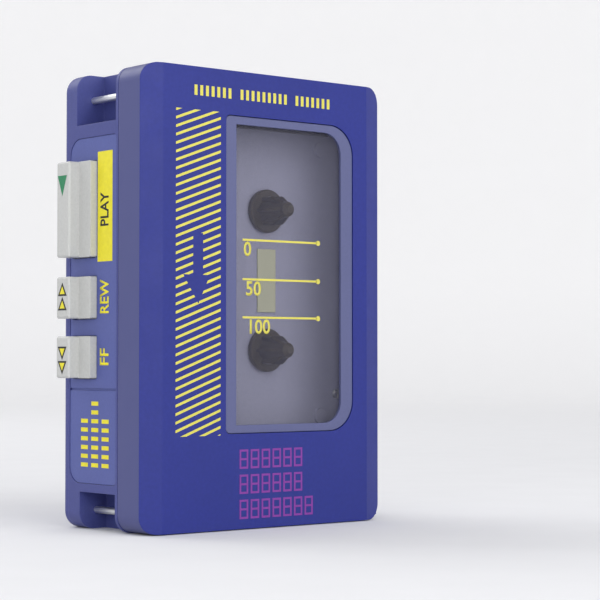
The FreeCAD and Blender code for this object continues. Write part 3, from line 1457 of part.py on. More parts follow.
def make_circuit_board():
    """The circuit board behind the motor, with its amplifier chip, capacitors and coil."""
    board = new_body("circuit_board")
    board_back = "board_front + board_thickness"
    pad(board, "XZ_Plane", "board_front", board_back,
        rectangle("guide_x + board_inset", "in_right - slide_fit", "tray_z1 + board_inset / 2",
                  "in_top - slide_fit", None, None, "corner_radius - case_wall", None))
    for x, z in BOSSES[:3]:
        cut(board, "XZ_Plane", "board_front", board_back,
            circle(x, z, "boss_radius + slide_fit"))
    for x, z in BOSSES[:2]:
        cut(board, "XZ_Plane", "board_front", board_back,
            rectangle(f"{x} - lug_wall", f"{x} + lug_wall", z, "in_top"))
    cut(board, "XZ_Plane", "board_front", board_back,
        rectangle("right - boss_from_right", "right", "boss_right_z - lug_wall",
                  "boss_right_z + lug_wall"))
    parts = new_body("board_parts")
    pad(parts, "XZ_Plane", "board_front - chip_height", "board_front",
        rectangle("chip_x", "chip_x + chip_length", "chip_z", "chip_z + chip_width"))
    for step in range(CAPACITORS):
        pad(parts, "XZ_Plane", "board_front - capacitor_height", "board_front",
            circle(f"chip_x + capacitor_radius + {step} * capacitor_pitch",
                   "chip_z + chip_width + 2 * capacitor_radius", "capacitor_radius"))
    pad(parts, "XZ_Plane", "board_front - 2 * chip_height", "board_front",
        rectangle("chip_x + chip_length + chip_height", "chip_x + 2 * chip_length - chip_height",
                  "chip_z", "chip_z + chip_length / 2"))


def make_screws():
    """The deck screws, driven from the front, and the rear cover's screws, from behind."""
    deck = new_body("deck_screws")
    rear = new_body("rear_screws")
    for x, z in BOSSES:
        pad(deck, "XZ_Plane", "deck_front - screw_head_height", "deck_front",
            circle(x, z, "screw_head_radius"))
        pad(deck, "XZ_Plane", "deck_front", "deck_front + deck_screw_length",
            circle(x, z, "screw_radius"))
        pad(rear, "XZ_Plane", "back - screw_head_height", "back - screw_sink",
            circle(x, z, "screw_head_radius"))
        pad(rear, "XZ_Plane", "back - screw_head_height - rear_screw_length",
            "back - screw_head_height", circle(x, z, "screw_radius"))


make_mid_case()
make_front_door()
make_window()
make_cassette_holders()
make_hinge_pins()
make_rear_cover()
make_battery_lid()
make_side_panel()
make_strap_bars()
make_deck_plate()
make_sight_plate()
make_chassis_plate()
make_reel_posts()
make_spindle("supply_spindle", "supply_z")
make_spindle("takeup_spindle", "takeup_z")
make_gears()
make_capstan()
make_drive_belt()
make_motor()
make_head_plate()
make_playback_head()
make_pinch_roller()
make_side_keys()
make_key_guide()
make_stop_key()
make_headphone_jack()
make_power_jack()
make_volume_wheel()
make_tape_switch()
make_power_lamp()
make_battery_tray()
make_circuit_board()
make_screws()
doc.recompute()

for item in doc.Objects:
    if "Invalid" in item.State or "Error" in item.State:
        raise RuntimeError(f"{item.Name} {item.Label} failed: {item.State}")
for part in subparts:
    if part.Shape.isNull() or not part.Shape.isValid() or not part.Shape.Solids:
        raise RuntimeError(f"{part.Label} has no sound shape")

os.makedirs("parts", exist_ok=True)
for part in subparts:
    part.Shape.exportStep(f"parts/{part.Label}.step")
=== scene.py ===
"""A personal cassette player: finishes, printing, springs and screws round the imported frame."""

import math

import bpy
from mathutils import Matrix, Vector


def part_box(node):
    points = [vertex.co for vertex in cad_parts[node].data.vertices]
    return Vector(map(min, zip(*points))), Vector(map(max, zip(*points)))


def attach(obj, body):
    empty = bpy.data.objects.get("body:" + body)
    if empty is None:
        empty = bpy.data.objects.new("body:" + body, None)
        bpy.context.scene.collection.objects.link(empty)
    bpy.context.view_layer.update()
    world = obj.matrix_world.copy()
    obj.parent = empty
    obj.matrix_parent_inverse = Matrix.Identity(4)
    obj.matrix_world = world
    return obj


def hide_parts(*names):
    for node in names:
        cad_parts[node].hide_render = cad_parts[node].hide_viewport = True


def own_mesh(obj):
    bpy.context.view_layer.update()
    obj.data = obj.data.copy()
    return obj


bl_info = {
    "name": "Cassette player",
    "version": (1, 0, 0),
    "blender": (4, 5, 0),
    "location": "View3D > Sidebar > Player",
    "description": "Finishes a personal cassette player, piece by piece",
    "category": "Object",
}

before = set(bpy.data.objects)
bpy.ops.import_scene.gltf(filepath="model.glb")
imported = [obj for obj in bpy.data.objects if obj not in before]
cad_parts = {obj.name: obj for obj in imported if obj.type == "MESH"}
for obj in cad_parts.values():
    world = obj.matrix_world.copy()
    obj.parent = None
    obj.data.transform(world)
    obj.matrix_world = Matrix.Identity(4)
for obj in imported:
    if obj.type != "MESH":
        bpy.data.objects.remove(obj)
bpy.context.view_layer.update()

MM = 0.001
INK = 0.03 * MM      # thickness of a printed film
LIFT = 0.02 * MM     # how far the back of a print stands off its ground
BEVEL = 2.25 * MM    # how far the door's bevels fall back

# Millimetres are counted as in the frame: x from the middle to the right, y from the middle
# to the back, z up from the foot.

# the faces that carry print: of the door, the side panel and the window pane
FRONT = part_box("front_door")[0].y
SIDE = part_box("side_panel")[0].x
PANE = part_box("window_pane")[0].y


# ---- settings ----


def colour(name, description, default):
    """A colour setting."""
    return bpy.props.FloatVectorProperty(
        name=name, description=description, subtype="COLOR", size=3, min=0, max=1, default=default
    )


def length(name, description, millimetres):
    """A length setting, given in millimetres and kept in metres."""
    return bpy.props.FloatProperty(
        name=name, description=description, unit="LENGTH", default=millimetres * MM
    )


class PlayerColours(bpy.types.PropertyGroup):
    """The colours of the mouldings and inks."""

    front: colour("Front", "Lacquered front of the door", (0.018, 0.026, 0.185))
    # lighter than the front: bare moulding, and partly a painted highlight on the door's rounded
    # sides
    door_sides_and_highlight: colour("Door sides", "Bare sides and inside of the door", (0.075, 0.083, 0.22))
    casing: colour("Casing", "Moulded middle casing and rear cover", (0.058, 0.068, 0.235))
    panel: colour("Side panel", "Control panel on the left side", (0.085, 0.105, 0.31))
    window_frame: colour("Window frame", "Moulded frame round the window", (0.085, 0.094, 0.2))
    keys: colour("Keys", "Keys on the side and the top", (0.5, 0.505, 0.49))
    deck: colour("Deck", "Deck behind the cassette", (0.325, 0.325, 0.435))
    side_yellow: colour("Side yellow", "Printing on keys and side panel", (0.8, 0.71, 0.02))
    front_yellow: colour("Front yellow", "Printing on door and window", (0.6, 0.545, 0.08))
    magenta: colour("Magenta ink", "Level display print", (0.18, 0.02, 0.26))
    green: colour("Green ink", "Mark on the play key", (0.012, 0.21, 0.085))


class PlayerPrint(bpy.types.PropertyGroup):
    """The sizes of the printing."""

    band_left: length("Band left", "Left edge of the striped band", -34)
    band_right: length("Band right", "Right edge of the striped band", -18)
    band_low: length("Band low", "Lower edge of the striped band", 27.7)
    band_high: length("Band high", "Upper edge of the striped band", 121.5)
    stripe_pitch: length("Stripe pitch", "Height from one stripe to the next", 2.42)
    stripe_width: length("Stripe width", "Height of one stripe", 0.78)
    stripe_rise: bpy.props.FloatProperty(
        name="Stripe rise", description="Slope of the stripes", subtype="ANGLE",
        default=math.radians(20),
    )


def colours():
    """The colour settings of this scene."""
    return bpy.context.scene.player_colours


def print_sizes():
    """The sizes of the printing in this scene."""
    return bpy.context.scene.player_print


# ---- materials ----


class Finish:
    """A Principled material that is built node by node."""

    NOISE_RANGE = (0.3, 0.7)     # where most of a noise lies
    EDGE_RANGE = (0.97, 0.8)     # how far the shading turns, as a cosine, from flat to an edge at its full wear and painted highlight
    EDGE_SAMPLES = 4

    def __init__(self, name, base, roughness, metallic=0.0, **sockets):
        self.material = bpy.data.materials.new(name)
        self.material.use_nodes = True
        self.nodes = self.material.node_tree.nodes
        self.links = self.material.node_tree.links
        self.shader = self.nodes["Principled BSDF"]
        self.shader.inputs["Base Color"].default_value = (*base, 1)
        self.shader.inputs["Roughness"].default_value = roughness
        self.shader.inputs["Metallic"].default_value = metallic
        for socket, amount in sockets.items():
            self.shader.inputs[socket.replace("_", " ")].default_value = amount
        self.base = base
        self.place = self.nodes.new("ShaderNodeTexCoord").outputs["Object"]
        self.normal = None

    def noise(self, scale, detail=3.0, stretch=(1, 1, 1)):
        """A noise value over the piece; scale is in spots per metre."""
        mapping = self.nodes.new("ShaderNodeMapping")
        mapping.inputs["Scale"].default_value = stretch
        self.links.new(self.place, mapping.inputs["Vector"])
        texture = self.nodes.new("ShaderNodeTexNoise")
        texture.inputs["Scale"].default_value = scale
        texture.inputs["Detail"].default_value = detail
        self.links.new(mapping.outputs["Vector"], texture.inputs["Vector"])
        return texture.outputs["Fac"]

    def spread(self, value, low, high):
        """Maps a value of 0 to 1 onto a range."""
        node = self.nodes.new("ShaderNodeMapRange")
        node.inputs["From Min"].default_value = self.NOISE_RANGE[0]
        node.inputs["From Max"].default_value = self.NOISE_RANGE[1]
        node.inputs["To Min"].default_value = low
        node.inputs["To Max"].default_value = high
        self.links.new(value, node.inputs["Value"])
        return node.outputs["Result"]

    def edges(self, radius):
        """Rounds sharp edges in the shading, and returns how close a point is to an edge."""
        bevel = self.nodes.new("ShaderNodeBevel")
        bevel.samples = self.EDGE_SAMPLES
        bevel.inputs["Radius"].default_value = radius
        geometry = self.nodes.new("ShaderNodeNewGeometry")
        dot = self.nodes.new("ShaderNodeVectorMath")
        dot.operation = "DOT_PRODUCT"
        self.links.new(bevel.outputs["Normal"], dot.inputs[0])
        self.links.new(geometry.outputs["Normal"], dot.inputs[1])
        # the edge mask, which the finishes use for rubbed wear and a painted highlight
        wear_and_highlight = self.nodes.new("ShaderNodeMapRange")
        wear_and_highlight.inputs["From Min"].default_value = self.EDGE_RANGE[0]
        wear_and_highlight.inputs["From Max"].default_value = self.EDGE_RANGE[1]
        self.links.new(dot.outputs["Value"], wear_and_highlight.inputs["Value"])
        self.normal = bevel.outputs["Normal"]
        return wear_and_highlight.outputs["Result"]

    def bump(self, height, depth, strength):
        """Relief from a value, its depth in metres."""
        node = self.nodes.new("ShaderNodeBump")
        node.inputs["Strength"].default_value = strength
        node.inputs["Distance"].default_value = depth
        self.links.new(height, node.inputs["Height"])
        if self.normal:
            self.links.new(self.normal, node.inputs["Normal"])
        self.normal = node.outputs["Normal"]

    def tint(self, value, other, amount=1.0):
        """Mixes the colour so far towards another by a value, wholly or by an amount."""
        mix = self.nodes.new("ShaderNodeMix")
        mix.data_type = "RGBA"
        mix.inputs["A"].default_value = (*self.base, 1)
        source = self.shader.inputs["Base Color"]
        if source.links:
            self.links.new(source.links[0].from_socket, mix.inputs["A"])
        mix.inputs["B"].default_value = (*other, 1)
        if amount != 1.0:
            value = self.spread(value, 0.0, amount)
        self.links.new(value, mix.inputs["Factor"])
        self.links.new(mix.outputs["Result"], source)

    def behind(self, level):
        """One where a point lies further back than a level, nought elsewhere."""
        split = self.nodes.new("ShaderNodeSeparateXYZ")
        self.links.new(self.place, split.inputs["Vector"])
        compare = self.nodes.new("ShaderNodeMath")
        compare.operation = "GREATER_THAN"
        compare.inputs[1].default_value = level
        self.links.new(split.outputs["Y"], compare.inputs[0])
        return compare.outputs["Value"]

    def rough(self, value, low, high):
        """Lets the roughness follow a value."""
        self.links.new(self.spread(value, low, high), self.shader.inputs["Roughness"])

    def done(self):
        """Connects the relief and returns the material."""
        if self.normal:
            self.links.new(self.normal, self.shader.inputs["Normal"])
        return self.material


def shade(base, factor):
    """A lighter or darker version of a colour."""
    return tuple(min(1.0, channel * factor) for channel in base)


def lacquer(name, base, sides, level):
    """Sprayed lacquer with fine flake, faint orange peel and edges paler from wear and a painted
    highlight, bare behind a level.
    """
    finish = Finish(name, base, roughness=0.38, Specular_IOR_Level=0.22)
    wear_and_highlight = finish.edges(radius=0.35 * MM)
    finish.tint(finish.noise(900, detail=2), shade(base, 1.25), amount=0.5)
    finish.tint(finish.noise(38, detail=4), shade(base, 0.8), amount=0.35)
    # paler edges: partly rubbed wear, partly a painted highlight along the edges
    finish.tint(wear_and_highlight, shade(base, 1.9), amount=0.55)
    # the sides and inside behind the level take the lighter bare colour, which is partly a
    # painted highlight
    finish.tint(finish.behind(level), sides)
    finish.rough(finish.noise(120, detail=5), low=0.3, high=0.44)
    finish.bump(finish.noise(700, detail=2), depth=0.012 * MM, strength=0.5)
    return finish.done()


def moulding(name, base, roughness, grain=0.02, round_edge=0.3):
    """Injection-moulded plastic with edges paler from wear and a painted highlight; depth of
    grain and rounding in millimetres.
    """
    finish = Finish(name, base, roughness, Specular_IOR_Level=0.3)
    wear_and_highlight = finish.edges(radius=round_edge * MM)
    finish.tint(finish.noise(30, detail=4), shade(base, 0.91), amount=0.5)
    finish.tint(finish.noise(1500, detail=2), shade(base, 1.12), amount=0.6)
    # paler edges: partly rubbed wear, partly a painted highlight along the edges
    finish.tint(wear_and_highlight, shade(base, 1.5), amount=0.45)
    finish.rough(finish.noise(90, detail=5), low=roughness - 0.03, high=roughness + 0.05)
    finish.bump(finish.noise(2400, detail=2), depth=grain * MM, strength=0.6)
    return finish.done()


def metal(name, base, roughness, stretch=(1, 1, 1), depth=0.004):
    """Bare metal with rolled or turned grain, its depth in millimetres."""
    grain = 2500         # spots per metre
    finish = Finish(name, base, roughness, metallic=1.0)
    finish.edges(radius=0.12 * MM)
    finish.tint(finish.noise(60, detail=4), shade(base, 0.75), amount=0.5)
    finish.rough(finish.noise(grain, stretch=stretch), low=roughness * 0.75,
                 high=roughness * 1.35)
    finish.bump(finish.noise(grain, stretch=stretch), depth=depth * MM, strength=0.5)
    return finish.done()


def ink(name, base):
    """Screen-printed ink: matt, with slightly uneven cover."""
    finish = Finish(name, base, roughness=0.55)
    finish.tint(finish.noise(700), shade(base, 0.82), amount=0.5)
    finish.rough(finish.noise(400), low=0.48, high=0.62)
    finish.bump(finish.noise(1800, detail=2), depth=0.006 * MM, strength=0.5)
    return finish.done()


def clear_pane(name):
    """Smoked acrylic: see-through, with a glossy face and faint scratches."""
    finish = Finish(name, (0.12, 0.12, 0.17), roughness=0.1, Alpha=0.16, IOR=1.45)
    finish.rough(finish.noise(260, detail=6, stretch=(0.2, 1, 6)), low=0.06, high=0.16)
    finish.tint(finish.noise(25), (0.13, 0.13, 0.18), amount=0.5)
    finish.bump(finish.noise(90, detail=2), depth=0.01 * MM, strength=0.1)
    return finish.done()


def laminate(name):
    """Phenolic paper laminate of a circuit board, with the copper side showing through."""
    finish = Finish(name, (0.3, 0.17, 0.05), roughness=0.4, Coat_Weight=0.2)
    finish.tint(finish.noise(180, detail=2, stretch=(1, 1, 0.2)), (0.14, 0.2, 0.05), amount=0.8)
    finish.tint(finish.noise(1200, detail=2), (0.38, 0.24, 0.09), amount=0.5)
    finish.bump(finish.noise(900, detail=2), depth=0.02 * MM, strength=0.5)
    return finish.done()


MATERIALS = {}


def materials():
    """All finishes, made once, under the names used for assigning them."""
    if MATERIALS:
        return MATERIALS
    tone = colours()
    MATERIALS.update({
        "front": lacquer("front_lacquer", tuple(tone.front), sides=tuple(tone.door_sides_and_highlight),
                         level=FRONT + BEVEL),
        "casing": moulding("casing_plastic", tuple(tone.casing), 0.44),
        "panel": moulding("panel_plastic", tuple(tone.panel), 0.46, grain=0.015),
        "window_frame": moulding("window_frame_plastic", tuple(tone.window_frame), 0.4,
                                 grain=0.012),
        "pane": clear_pane("smoked_pane"),
        "keys": moulding("key_plastic", tuple(tone.keys), 0.36, grain=0.008),
        "deck": moulding("deck_plastic", tuple(tone.deck), 0.55, grain=0.03),
        "holder": moulding("holder_plastic", (0.07, 0.068, 0.085), 0.5),
        "sight": moulding("sight_plastic", (0.49, 0.49, 0.34), 0.45, grain=0.01),
        "spindle": moulding("spindle_plastic", (0.032, 0.023, 0.006), 0.42, grain=0.012,
                            round_edge=0.15),
        "nylon": moulding("gear_nylon", (0.72, 0.7, 0.62), 0.38, grain=0.006, round_edge=0.1),
        "black": moulding("black_plastic", (0.018, 0.018, 0.02), 0.42, round_edge=0.15),
        "rubber": moulding("black_rubber", (0.014, 0.014, 0.015), 0.72, grain=0.015,
                           round_edge=0.1),
        "lamp": moulding("lamp_lens", (0.42, 0.012, 0.01), 0.12, grain=0.002, round_edge=0.1),
        "zinc": metal("zinc_plated_steel", (0.62, 0.61, 0.56), 0.34, stretch=(1, 1, 0.05)),
        "satin": metal("satin_nickel", (0.86, 0.87, 0.86), 0.42, stretch=(1, 0.05, 1),
                       depth=0.002),
        "bright": metal("bright_steel", (0.78, 0.78, 0.8), 0.14, stretch=(1, 0.05, 1),
                        depth=0.002),
        "turned": metal("turned_steel", (0.6, 0.6, 0.62), 0.26, depth=0.003),
        "screw": metal("screw_zinc", (0.6, 0.6, 0.58), 0.3),
        "bronze": metal("sintered_bronze", (0.55, 0.36, 0.16), 0.32),
        "mumetal": metal("head_shield", (0.66, 0.65, 0.62), 0.16, stretch=(1, 1, 0.1),
                         depth=0.002),
        "board": laminate("board_laminate"),
        "side_yellow": ink("side_yellow_ink", tuple(tone.side_yellow)),
        "front_yellow": ink("front_yellow_ink", tuple(tone.front_yellow)),
        "magenta": ink("magenta_ink", tuple(tone.magenta)),
        "green": ink("green_ink", tuple(tone.green)),
        "black_ink": ink("black_ink", (0.012, 0.012, 0.014)),
    })
    return MATERIALS


def finish_nodes(key, *names):
    """Gives CAD nodes a finish."""
    for name in names:
        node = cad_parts[name]
        node.data.materials.clear()
        node.data.materials.append(materials()[key])


# ---- modelling ----


def object_mode():
    """Leaves edit mode."""
    if bpy.context.mode != "OBJECT":
        bpy.ops.object.mode_set(mode="OBJECT")


def start():
    """Nothing selected, object mode."""
    object_mode()
    bpy.ops.object.select_all(action="DESELECT")


def keep_place():
    """Moves the object's place, turn and size into its mesh."""
    bpy.ops.object.transform_apply(location=True, rotation=True, scale=True)


def settle(piece, name, finish, body):
    """Names a finished piece, gives it its finish and lets it ride on a body."""
    object_mode()
    piece.name = name
    piece.data.name = name
    piece.data.materials.clear()
    piece.data.materials.append(materials()[finish])
    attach(piece, body)
    return piece


def join(pieces):
    """Several objects made one."""
    start()
    for piece in pieces:
        piece.select_set(True)
    bpy.context.view_layer.objects.active = pieces[0]
    if len(pieces) > 1:
        bpy.ops.object.join()
    return bpy.context.active_object


def film(outline, axis):
    """A thin printed film with a flat outline of 3-D points, facing along axis."""
    start()
    bpy.ops.mesh.primitive_circle_add(vertices=len(outline), radius=1, fill_type="NGON")
    piece = bpy.context.active_object
    for vertex, point in zip(piece.data.vertices, outline):
        vertex.co = point
    return thicken(piece, axis)


def thicken(piece, axis):
    """Gives a flat print its thickness along axis, and turns its faces outward."""
    start()
    piece.select_set(True)
    bpy.context.view_layer.objects.active = piece
    bpy.ops.object.mode_set(mode="EDIT")
    bpy.ops.mesh.select_all(action="SELECT")
    bpy.ops.mesh.extrude_region_move(
        TRANSFORM_OT_translate={"value": tuple(Vector(axis) * INK)}
    )
    bpy.ops.mesh.select_all(action="SELECT")
    bpy.ops.mesh.normals_make_consistent(inside=False)
    object_mode()
    return piece


OUT_OF_DOOR = Vector((0, -1, 0))
OUT_OF_SIDE = Vector((-1, 0, 0))


def on_door(x, z, ground=FRONT):
    """A point of a print on the door, from places in millimetres."""
    return Vector((x * MM, ground - LIFT, z * MM))


def on_side(y, z, ground=SIDE):
    """A point of a print on the left side, from places in millimetres."""
    return Vector((ground - LIFT, y * MM, z * MM))


def block(place, low, high, axis):
    """A rectangular film between two corners."""
    (a0, b0), (a1, b1) = low, high
    return film([place(a0, b0), place(a1, b0), place(a1, b1), place(a0, b1)], axis)


def repeat(piece, count, step):
    """Repeats a piece in a row, each a step further."""
    start()
    piece.select_set(True)
    bpy.context.view_layer.objects.active = piece
    array = piece.modifiers.new("repeat", "ARRAY")
    array.use_relative_offset = False
    array.use_constant_offset = True
    array.constant_offset_displace = step
    array.count = count
    bpy.ops.object.modifier_apply(modifier="repeat")
    return piece


def lettering(words, size, middle, turn, axis, width=1.0):
    """Letters as a thin film, centred on a point, turned from flat on the floor."""
    weight = 0.02        # how much bolder the strokes are, for a size of one
    curve_steps = 3
    start()
    bpy.ops.object.text_add()
    text = bpy.context.active_object
    text.data.body = words
    text.data.size = size
    text.data.offset = weight * size
    text.data.align_x = "CENTER"
    text.data.align_y = "CENTER"
    text.data.resolution_u = curve_steps
    bpy.ops.object.convert(target="MESH")
    piece = bpy.context.active_object
    piece.scale.x = width
    piece.rotation_euler = turn
    piece.location = middle
    keep_place()
    return thicken(piece, axis)


# turns for what is made flat on the floor: upright on the door, and reading up the side
FACING_FRONT = (math.radians(90), 0, 0)
UP_THE_SIDE = (math.radians(90), math.radians(-90), math.radians(-90))

WELD = 1e-6          # points nearer than this, in metres, count as one


# ---- pieces ----


class PLAYER_OT_casing(bpy.types.Operator):
    """Finish the door, the casing, the rear cover and the side panel"""

    bl_idname = "player.casing"
    bl_label = "Casing"

    def execute(self, context):
        finish_nodes("front", "front_door")
        finish_nodes("casing", "mid_case", "rear_cover", "battery_lid")
        finish_nodes("panel", "side_panel")
        finish_nodes("satin", "strap_bars")
        finish_nodes("bright", "jack_nut", "hinge_pins")
        finish_nodes("black", "headphone_jack", "power_jack", "volume_wheel", "tape_switch",
                     "switch_body", "battery_tray")
        finish_nodes("lamp", "power_lamp")
        return {"FINISHED"}


class PLAYER_OT_window(bpy.types.Operator):
    """Finish the window frame, the pane and the cassette holder"""

    bl_idname = "player.window"
    bl_label = "Window"

    def execute(self, context):
        finish_nodes("window_frame", "window_frame")
        finish_nodes("pane", "window_pane")
        finish_nodes("holder", "cassette_holder_low", "cassette_holder_high")
        return {"FINISHED"}


class PLAYER_OT_keys(bpy.types.Operator):
    """Finish the keys and print their marks"""

    bl_idname = "player.keys"
    bl_label = "Keys"

    # in millimetres along y and z
    PLAY_MARK_Y = 10.4
    PLAY_MARK_WIDTH = 4.8
    PLAY_MARK_HEIGHT = 6
    PLAY_MARK_BELOW_TOP = 5
    ARROW_Y = 12.6
    ARROW_SHIFTS = (-2.4, 1.8)       # two arrowheads, from the middle of the key
    ARROW_HALF_WIDTH = 2.35
    ARROW_HEIGHT = 3.9
    FILL_SHARE = 0.58                # size of the yellow fill in its black arrowhead

    def execute(self, context):
        finish_nodes("keys", "play_key", "rew_key", "ff_key", "stop_key")
        finish_nodes("zinc", "eject_latch")
        self.play_mark()
        self.winding_marks("rew_key", "rewind", 1)
        self.winding_marks("ff_key", "forward", -1)
        return {"FINISHED"}

    def play_mark(self):
        """A green triangle that points down."""
        low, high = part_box("play_key")
        y = self.PLAY_MARK_Y
        top = high.z / MM - self.PLAY_MARK_BELOW_TOP
        triangle = [(y, top), (y + self.PLAY_MARK_WIDTH, top),
                    (y + self.PLAY_MARK_WIDTH / 2, top - self.PLAY_MARK_HEIGHT)]
        mark = film([on_side(*corner, low.x) for corner in triangle], OUT_OF_SIDE)
        settle(mark, "play_mark", "green", "play")

    def winding_marks(self, key, body, sign):
        """Two black arrowheads with yellow fills, pointing up or down."""
        low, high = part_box(key)
        middle = (low.z + high.z) / 2 / MM
        for part, ink_name, ground, share in (
            ("mark", "black_ink", low.x, 1.0),
            ("mark_fill", "side_yellow", low.x - INK, self.FILL_SHARE),
        ):
            arrows = [self.arrowhead(middle + shift, sign, ground, share)
                      for shift in self.ARROW_SHIFTS]
            settle(join(arrows), f"{key}_{part}", ink_name, body)

    def arrowhead(self, z, sign, ground, share):
        """A triangular film round its middle, pointing up or down."""
        half, height = self.ARROW_HALF_WIDTH * share, self.ARROW_HEIGHT * share
        foot = z - sign * height / 3
        corners = [(self.ARROW_Y - half, foot), (self.ARROW_Y + half, foot),
                   (self.ARROW_Y, z + sign * height * 2 / 3)]
        return film([on_side(*corner, ground) for corner in corners], OUT_OF_SIDE)


class PLAYER_OT_mechanism(bpy.types.Operator):
    """Finish the deck, the gears, the drive and the board"""

    bl_idname = "player.mechanism"
    bl_label = "Mechanism"

    def execute(self, context):
        finish_nodes("deck", "deck_plate")
        finish_nodes("sight", "sight_plate")
        finish_nodes("spindle", "supply_spindle", "takeup_spindle")
        finish_nodes("nylon", "supply_gear", "takeup_gear", "idler_gear")
        finish_nodes("bronze", "capstan_pinion", "capstan_bearing", "motor_pulley")
        finish_nodes("turned", "flywheel", "motor")
        finish_nodes("bright", "capstan_shaft", "motor_shaft", "reel_posts")
        finish_nodes("zinc", "chassis_plate", "idler_post", "motor_bracket", "flywheel_bridge",
                     "plate_guide_pins", "arm_post", "key_guide", "head_plate", "pinch_arm",
                     "battery_contacts", "volume_pot")
        finish_nodes("mumetal", "playback_head")
        finish_nodes("rubber", "pinch_roller", "drive_belt")
        finish_nodes("board", "circuit_board")
        finish_nodes("black", "board_parts")
        return {"FINISHED"}


# the outline of the arrow that the band leaves bare, in millimetres along x and z
ARROW = ((-27.9, 86), (-24.3, 86), (-24.3, 74), (-21.8, 74), (-26, 65.7), (-31.4, 74),
         (-27.9, 74))


def inside(point, outline):
    """Whether a flat point lies inside a closed outline."""
    x, z = point
    found = False
    for (x0, z0), (x1, z1) in zip(outline, outline[1:] + outline[:1]):
        if (z0 > z) != (z1 > z) and x < x0 + (z - z0) * (x1 - x0) / (z1 - z0):
            found = not found
    return found


def slice_mesh(point, normal, clear=False):
    """Cuts the whole mesh along a plane, and clears what lies beyond it if asked to."""
    bpy.ops.mesh.select_all(action="SELECT")
    bpy.ops.mesh.bisect(plane_co=point, plane_no=Vector(normal).normalized(),
                        clear_outer=clear, threshold=WELD)


class PLAYER_OT_striped_band(bpy.types.Operator):
    """Print the striped band with its bare arrow on the door"""

    bl_idname = "player.striped_band"
    bl_label = "Striped band"

    FLAT = math.radians(1)       # faces that meet at less than this are made one

    def stripes(self):
        """A column of slanted stripes, cut to the band, with the arrow left out."""
        size = print_sizes()
        middle = (size.band_left + size.band_right) / 2
        half = size.band_right - middle
        start()
        bpy.ops.mesh.primitive_plane_add(size=1, location=(middle, FRONT - LIFT, 0),
                                         rotation=FACING_FRONT)
        stripe = bpy.context.active_object
        overlong = 4 * half      # twice the width of the band, which is then cut to width
        stripe.scale = (overlong, size.stripe_width, 1)
        keep_place()
        rise = math.tan(size.stripe_rise)
        for vertex in stripe.data.vertices:
            vertex.co.z += (vertex.co.x - middle) * rise
        reach = half * rise
        first = size.band_low - reach
        count = int((size.band_high + reach - first) / size.stripe_pitch) + 1
        stripe.data.transform(Matrix.Translation((0, 0, first)))
        repeat(stripe, count, (0, 0, size.stripe_pitch))
        bpy.ops.object.mode_set(mode="EDIT")
        slice_mesh((size.band_left, 0, 0), (-1, 0, 0), clear=True)
        slice_mesh((size.band_right, 0, 0), (1, 0, 0), clear=True)
        slice_mesh((0, 0, size.band_low), (0, 0, -1), clear=True)
        slice_mesh((0, 0, size.band_high), (0, 0, 1), clear=True)
        corners = [(x * MM, z * MM) for x, z in ARROW]
        for (x0, z0), (x1, z1) in zip(corners, corners[1:] + corners[:1]):
            slice_mesh((x0, 0, z0), (z1 - z0, 0, x0 - x1))
        bpy.ops.mesh.select_all(action="DESELECT")
        object_mode()
        for face in stripe.data.polygons:
            face.select = inside((face.center.x, face.center.z), corners)
        bpy.ops.object.mode_set(mode="EDIT")
        bpy.ops.mesh.delete(type="FACE")
        bpy.ops.mesh.select_all(action="SELECT")
        bpy.ops.mesh.dissolve_limited(angle_limit=self.FLAT)
        object_mode()
        return thicken(stripe, OUT_OF_DOOR)

    def execute(self, context):
        settle(self.stripes(), "stripe_band", "front_yellow", "door")
        return {"FINISHED"}


class PLAYER_OT_door_print(bpy.types.Operator):
    """Print the row of ticks and the level display on the door"""

    bl_idname = "player.door_print"
    bl_label = "Door print"

    # in millimetres along x and z
    TICK_LEFT = -27.5
    TICK_LOW, TICK_HIGH = 125.7, 128.7
    TICK_WIDTH = 1.05
    TICK_PITCH = 2.05
    GROUP_GAP = 2.4                                   # extra room between two groups
    TICK_GROUPS = (7, 9, 7)
    CELL_ROWS = ((17.8, 6), (10.5, 6), (3.2, 7))      # foot of each row, number of cells
    CELL_LEFT = -11
    CELL_PITCH = 4.1
    CELL_WIDTH, CELL_HEIGHT = 3.2, 5.6
    CELL_LINE = 0.6
    BAR_LOW, BAR_HIGH = (0.6, 2.5), (2.6, 3.1)        # from the lower left of the cell

    def execute(self, context):
        ticks = []
        x = self.TICK_LEFT
        for count in self.TICK_GROUPS:
            tick = block(on_door, (x, self.TICK_LOW), (x + self.TICK_WIDTH, self.TICK_HIGH),
                         OUT_OF_DOOR)
            ticks.append(repeat(tick, count, (self.TICK_PITCH * MM, 0, 0)))
            x += self.TICK_PITCH * count + self.GROUP_GAP
        settle(join(ticks), "title_ticks", "front_yellow", "door")
        rows = []
        for z, count in self.CELL_ROWS:
            row = repeat(self.cell(self.CELL_LEFT, z), count, (self.CELL_PITCH * MM, 0, 0))
            rows.append(row)
        settle(join(rows), "level_display_print", "magenta", "door")
        return {"FINISHED"}

    def cell(self, x, z):
        """One outlined cell of the display, with a bar across it."""
        start()
        bpy.ops.mesh.primitive_plane_add(size=1)
        cell = bpy.context.active_object
        cell.scale = (self.CELL_WIDTH * MM, self.CELL_HEIGHT * MM, 1)
        cell.rotation_euler = FACING_FRONT
        cell.location = on_door(x + self.CELL_WIDTH / 2, z + self.CELL_HEIGHT / 2)
        keep_place()
        bpy.ops.object.mode_set(mode="EDIT")
        bpy.ops.mesh.select_all(action="SELECT")
        bpy.ops.mesh.inset(thickness=self.CELL_LINE * MM)
        bpy.ops.mesh.delete(type="FACE")
        object_mode()
        thicken(cell, OUT_OF_DOOR)
        bar = block(on_door, (x + self.BAR_LOW[0], z + self.BAR_LOW[1]),
                    (x + self.BAR_HIGH[0], z + self.BAR_HIGH[1]), OUT_OF_DOOR)
        return join([cell, bar])


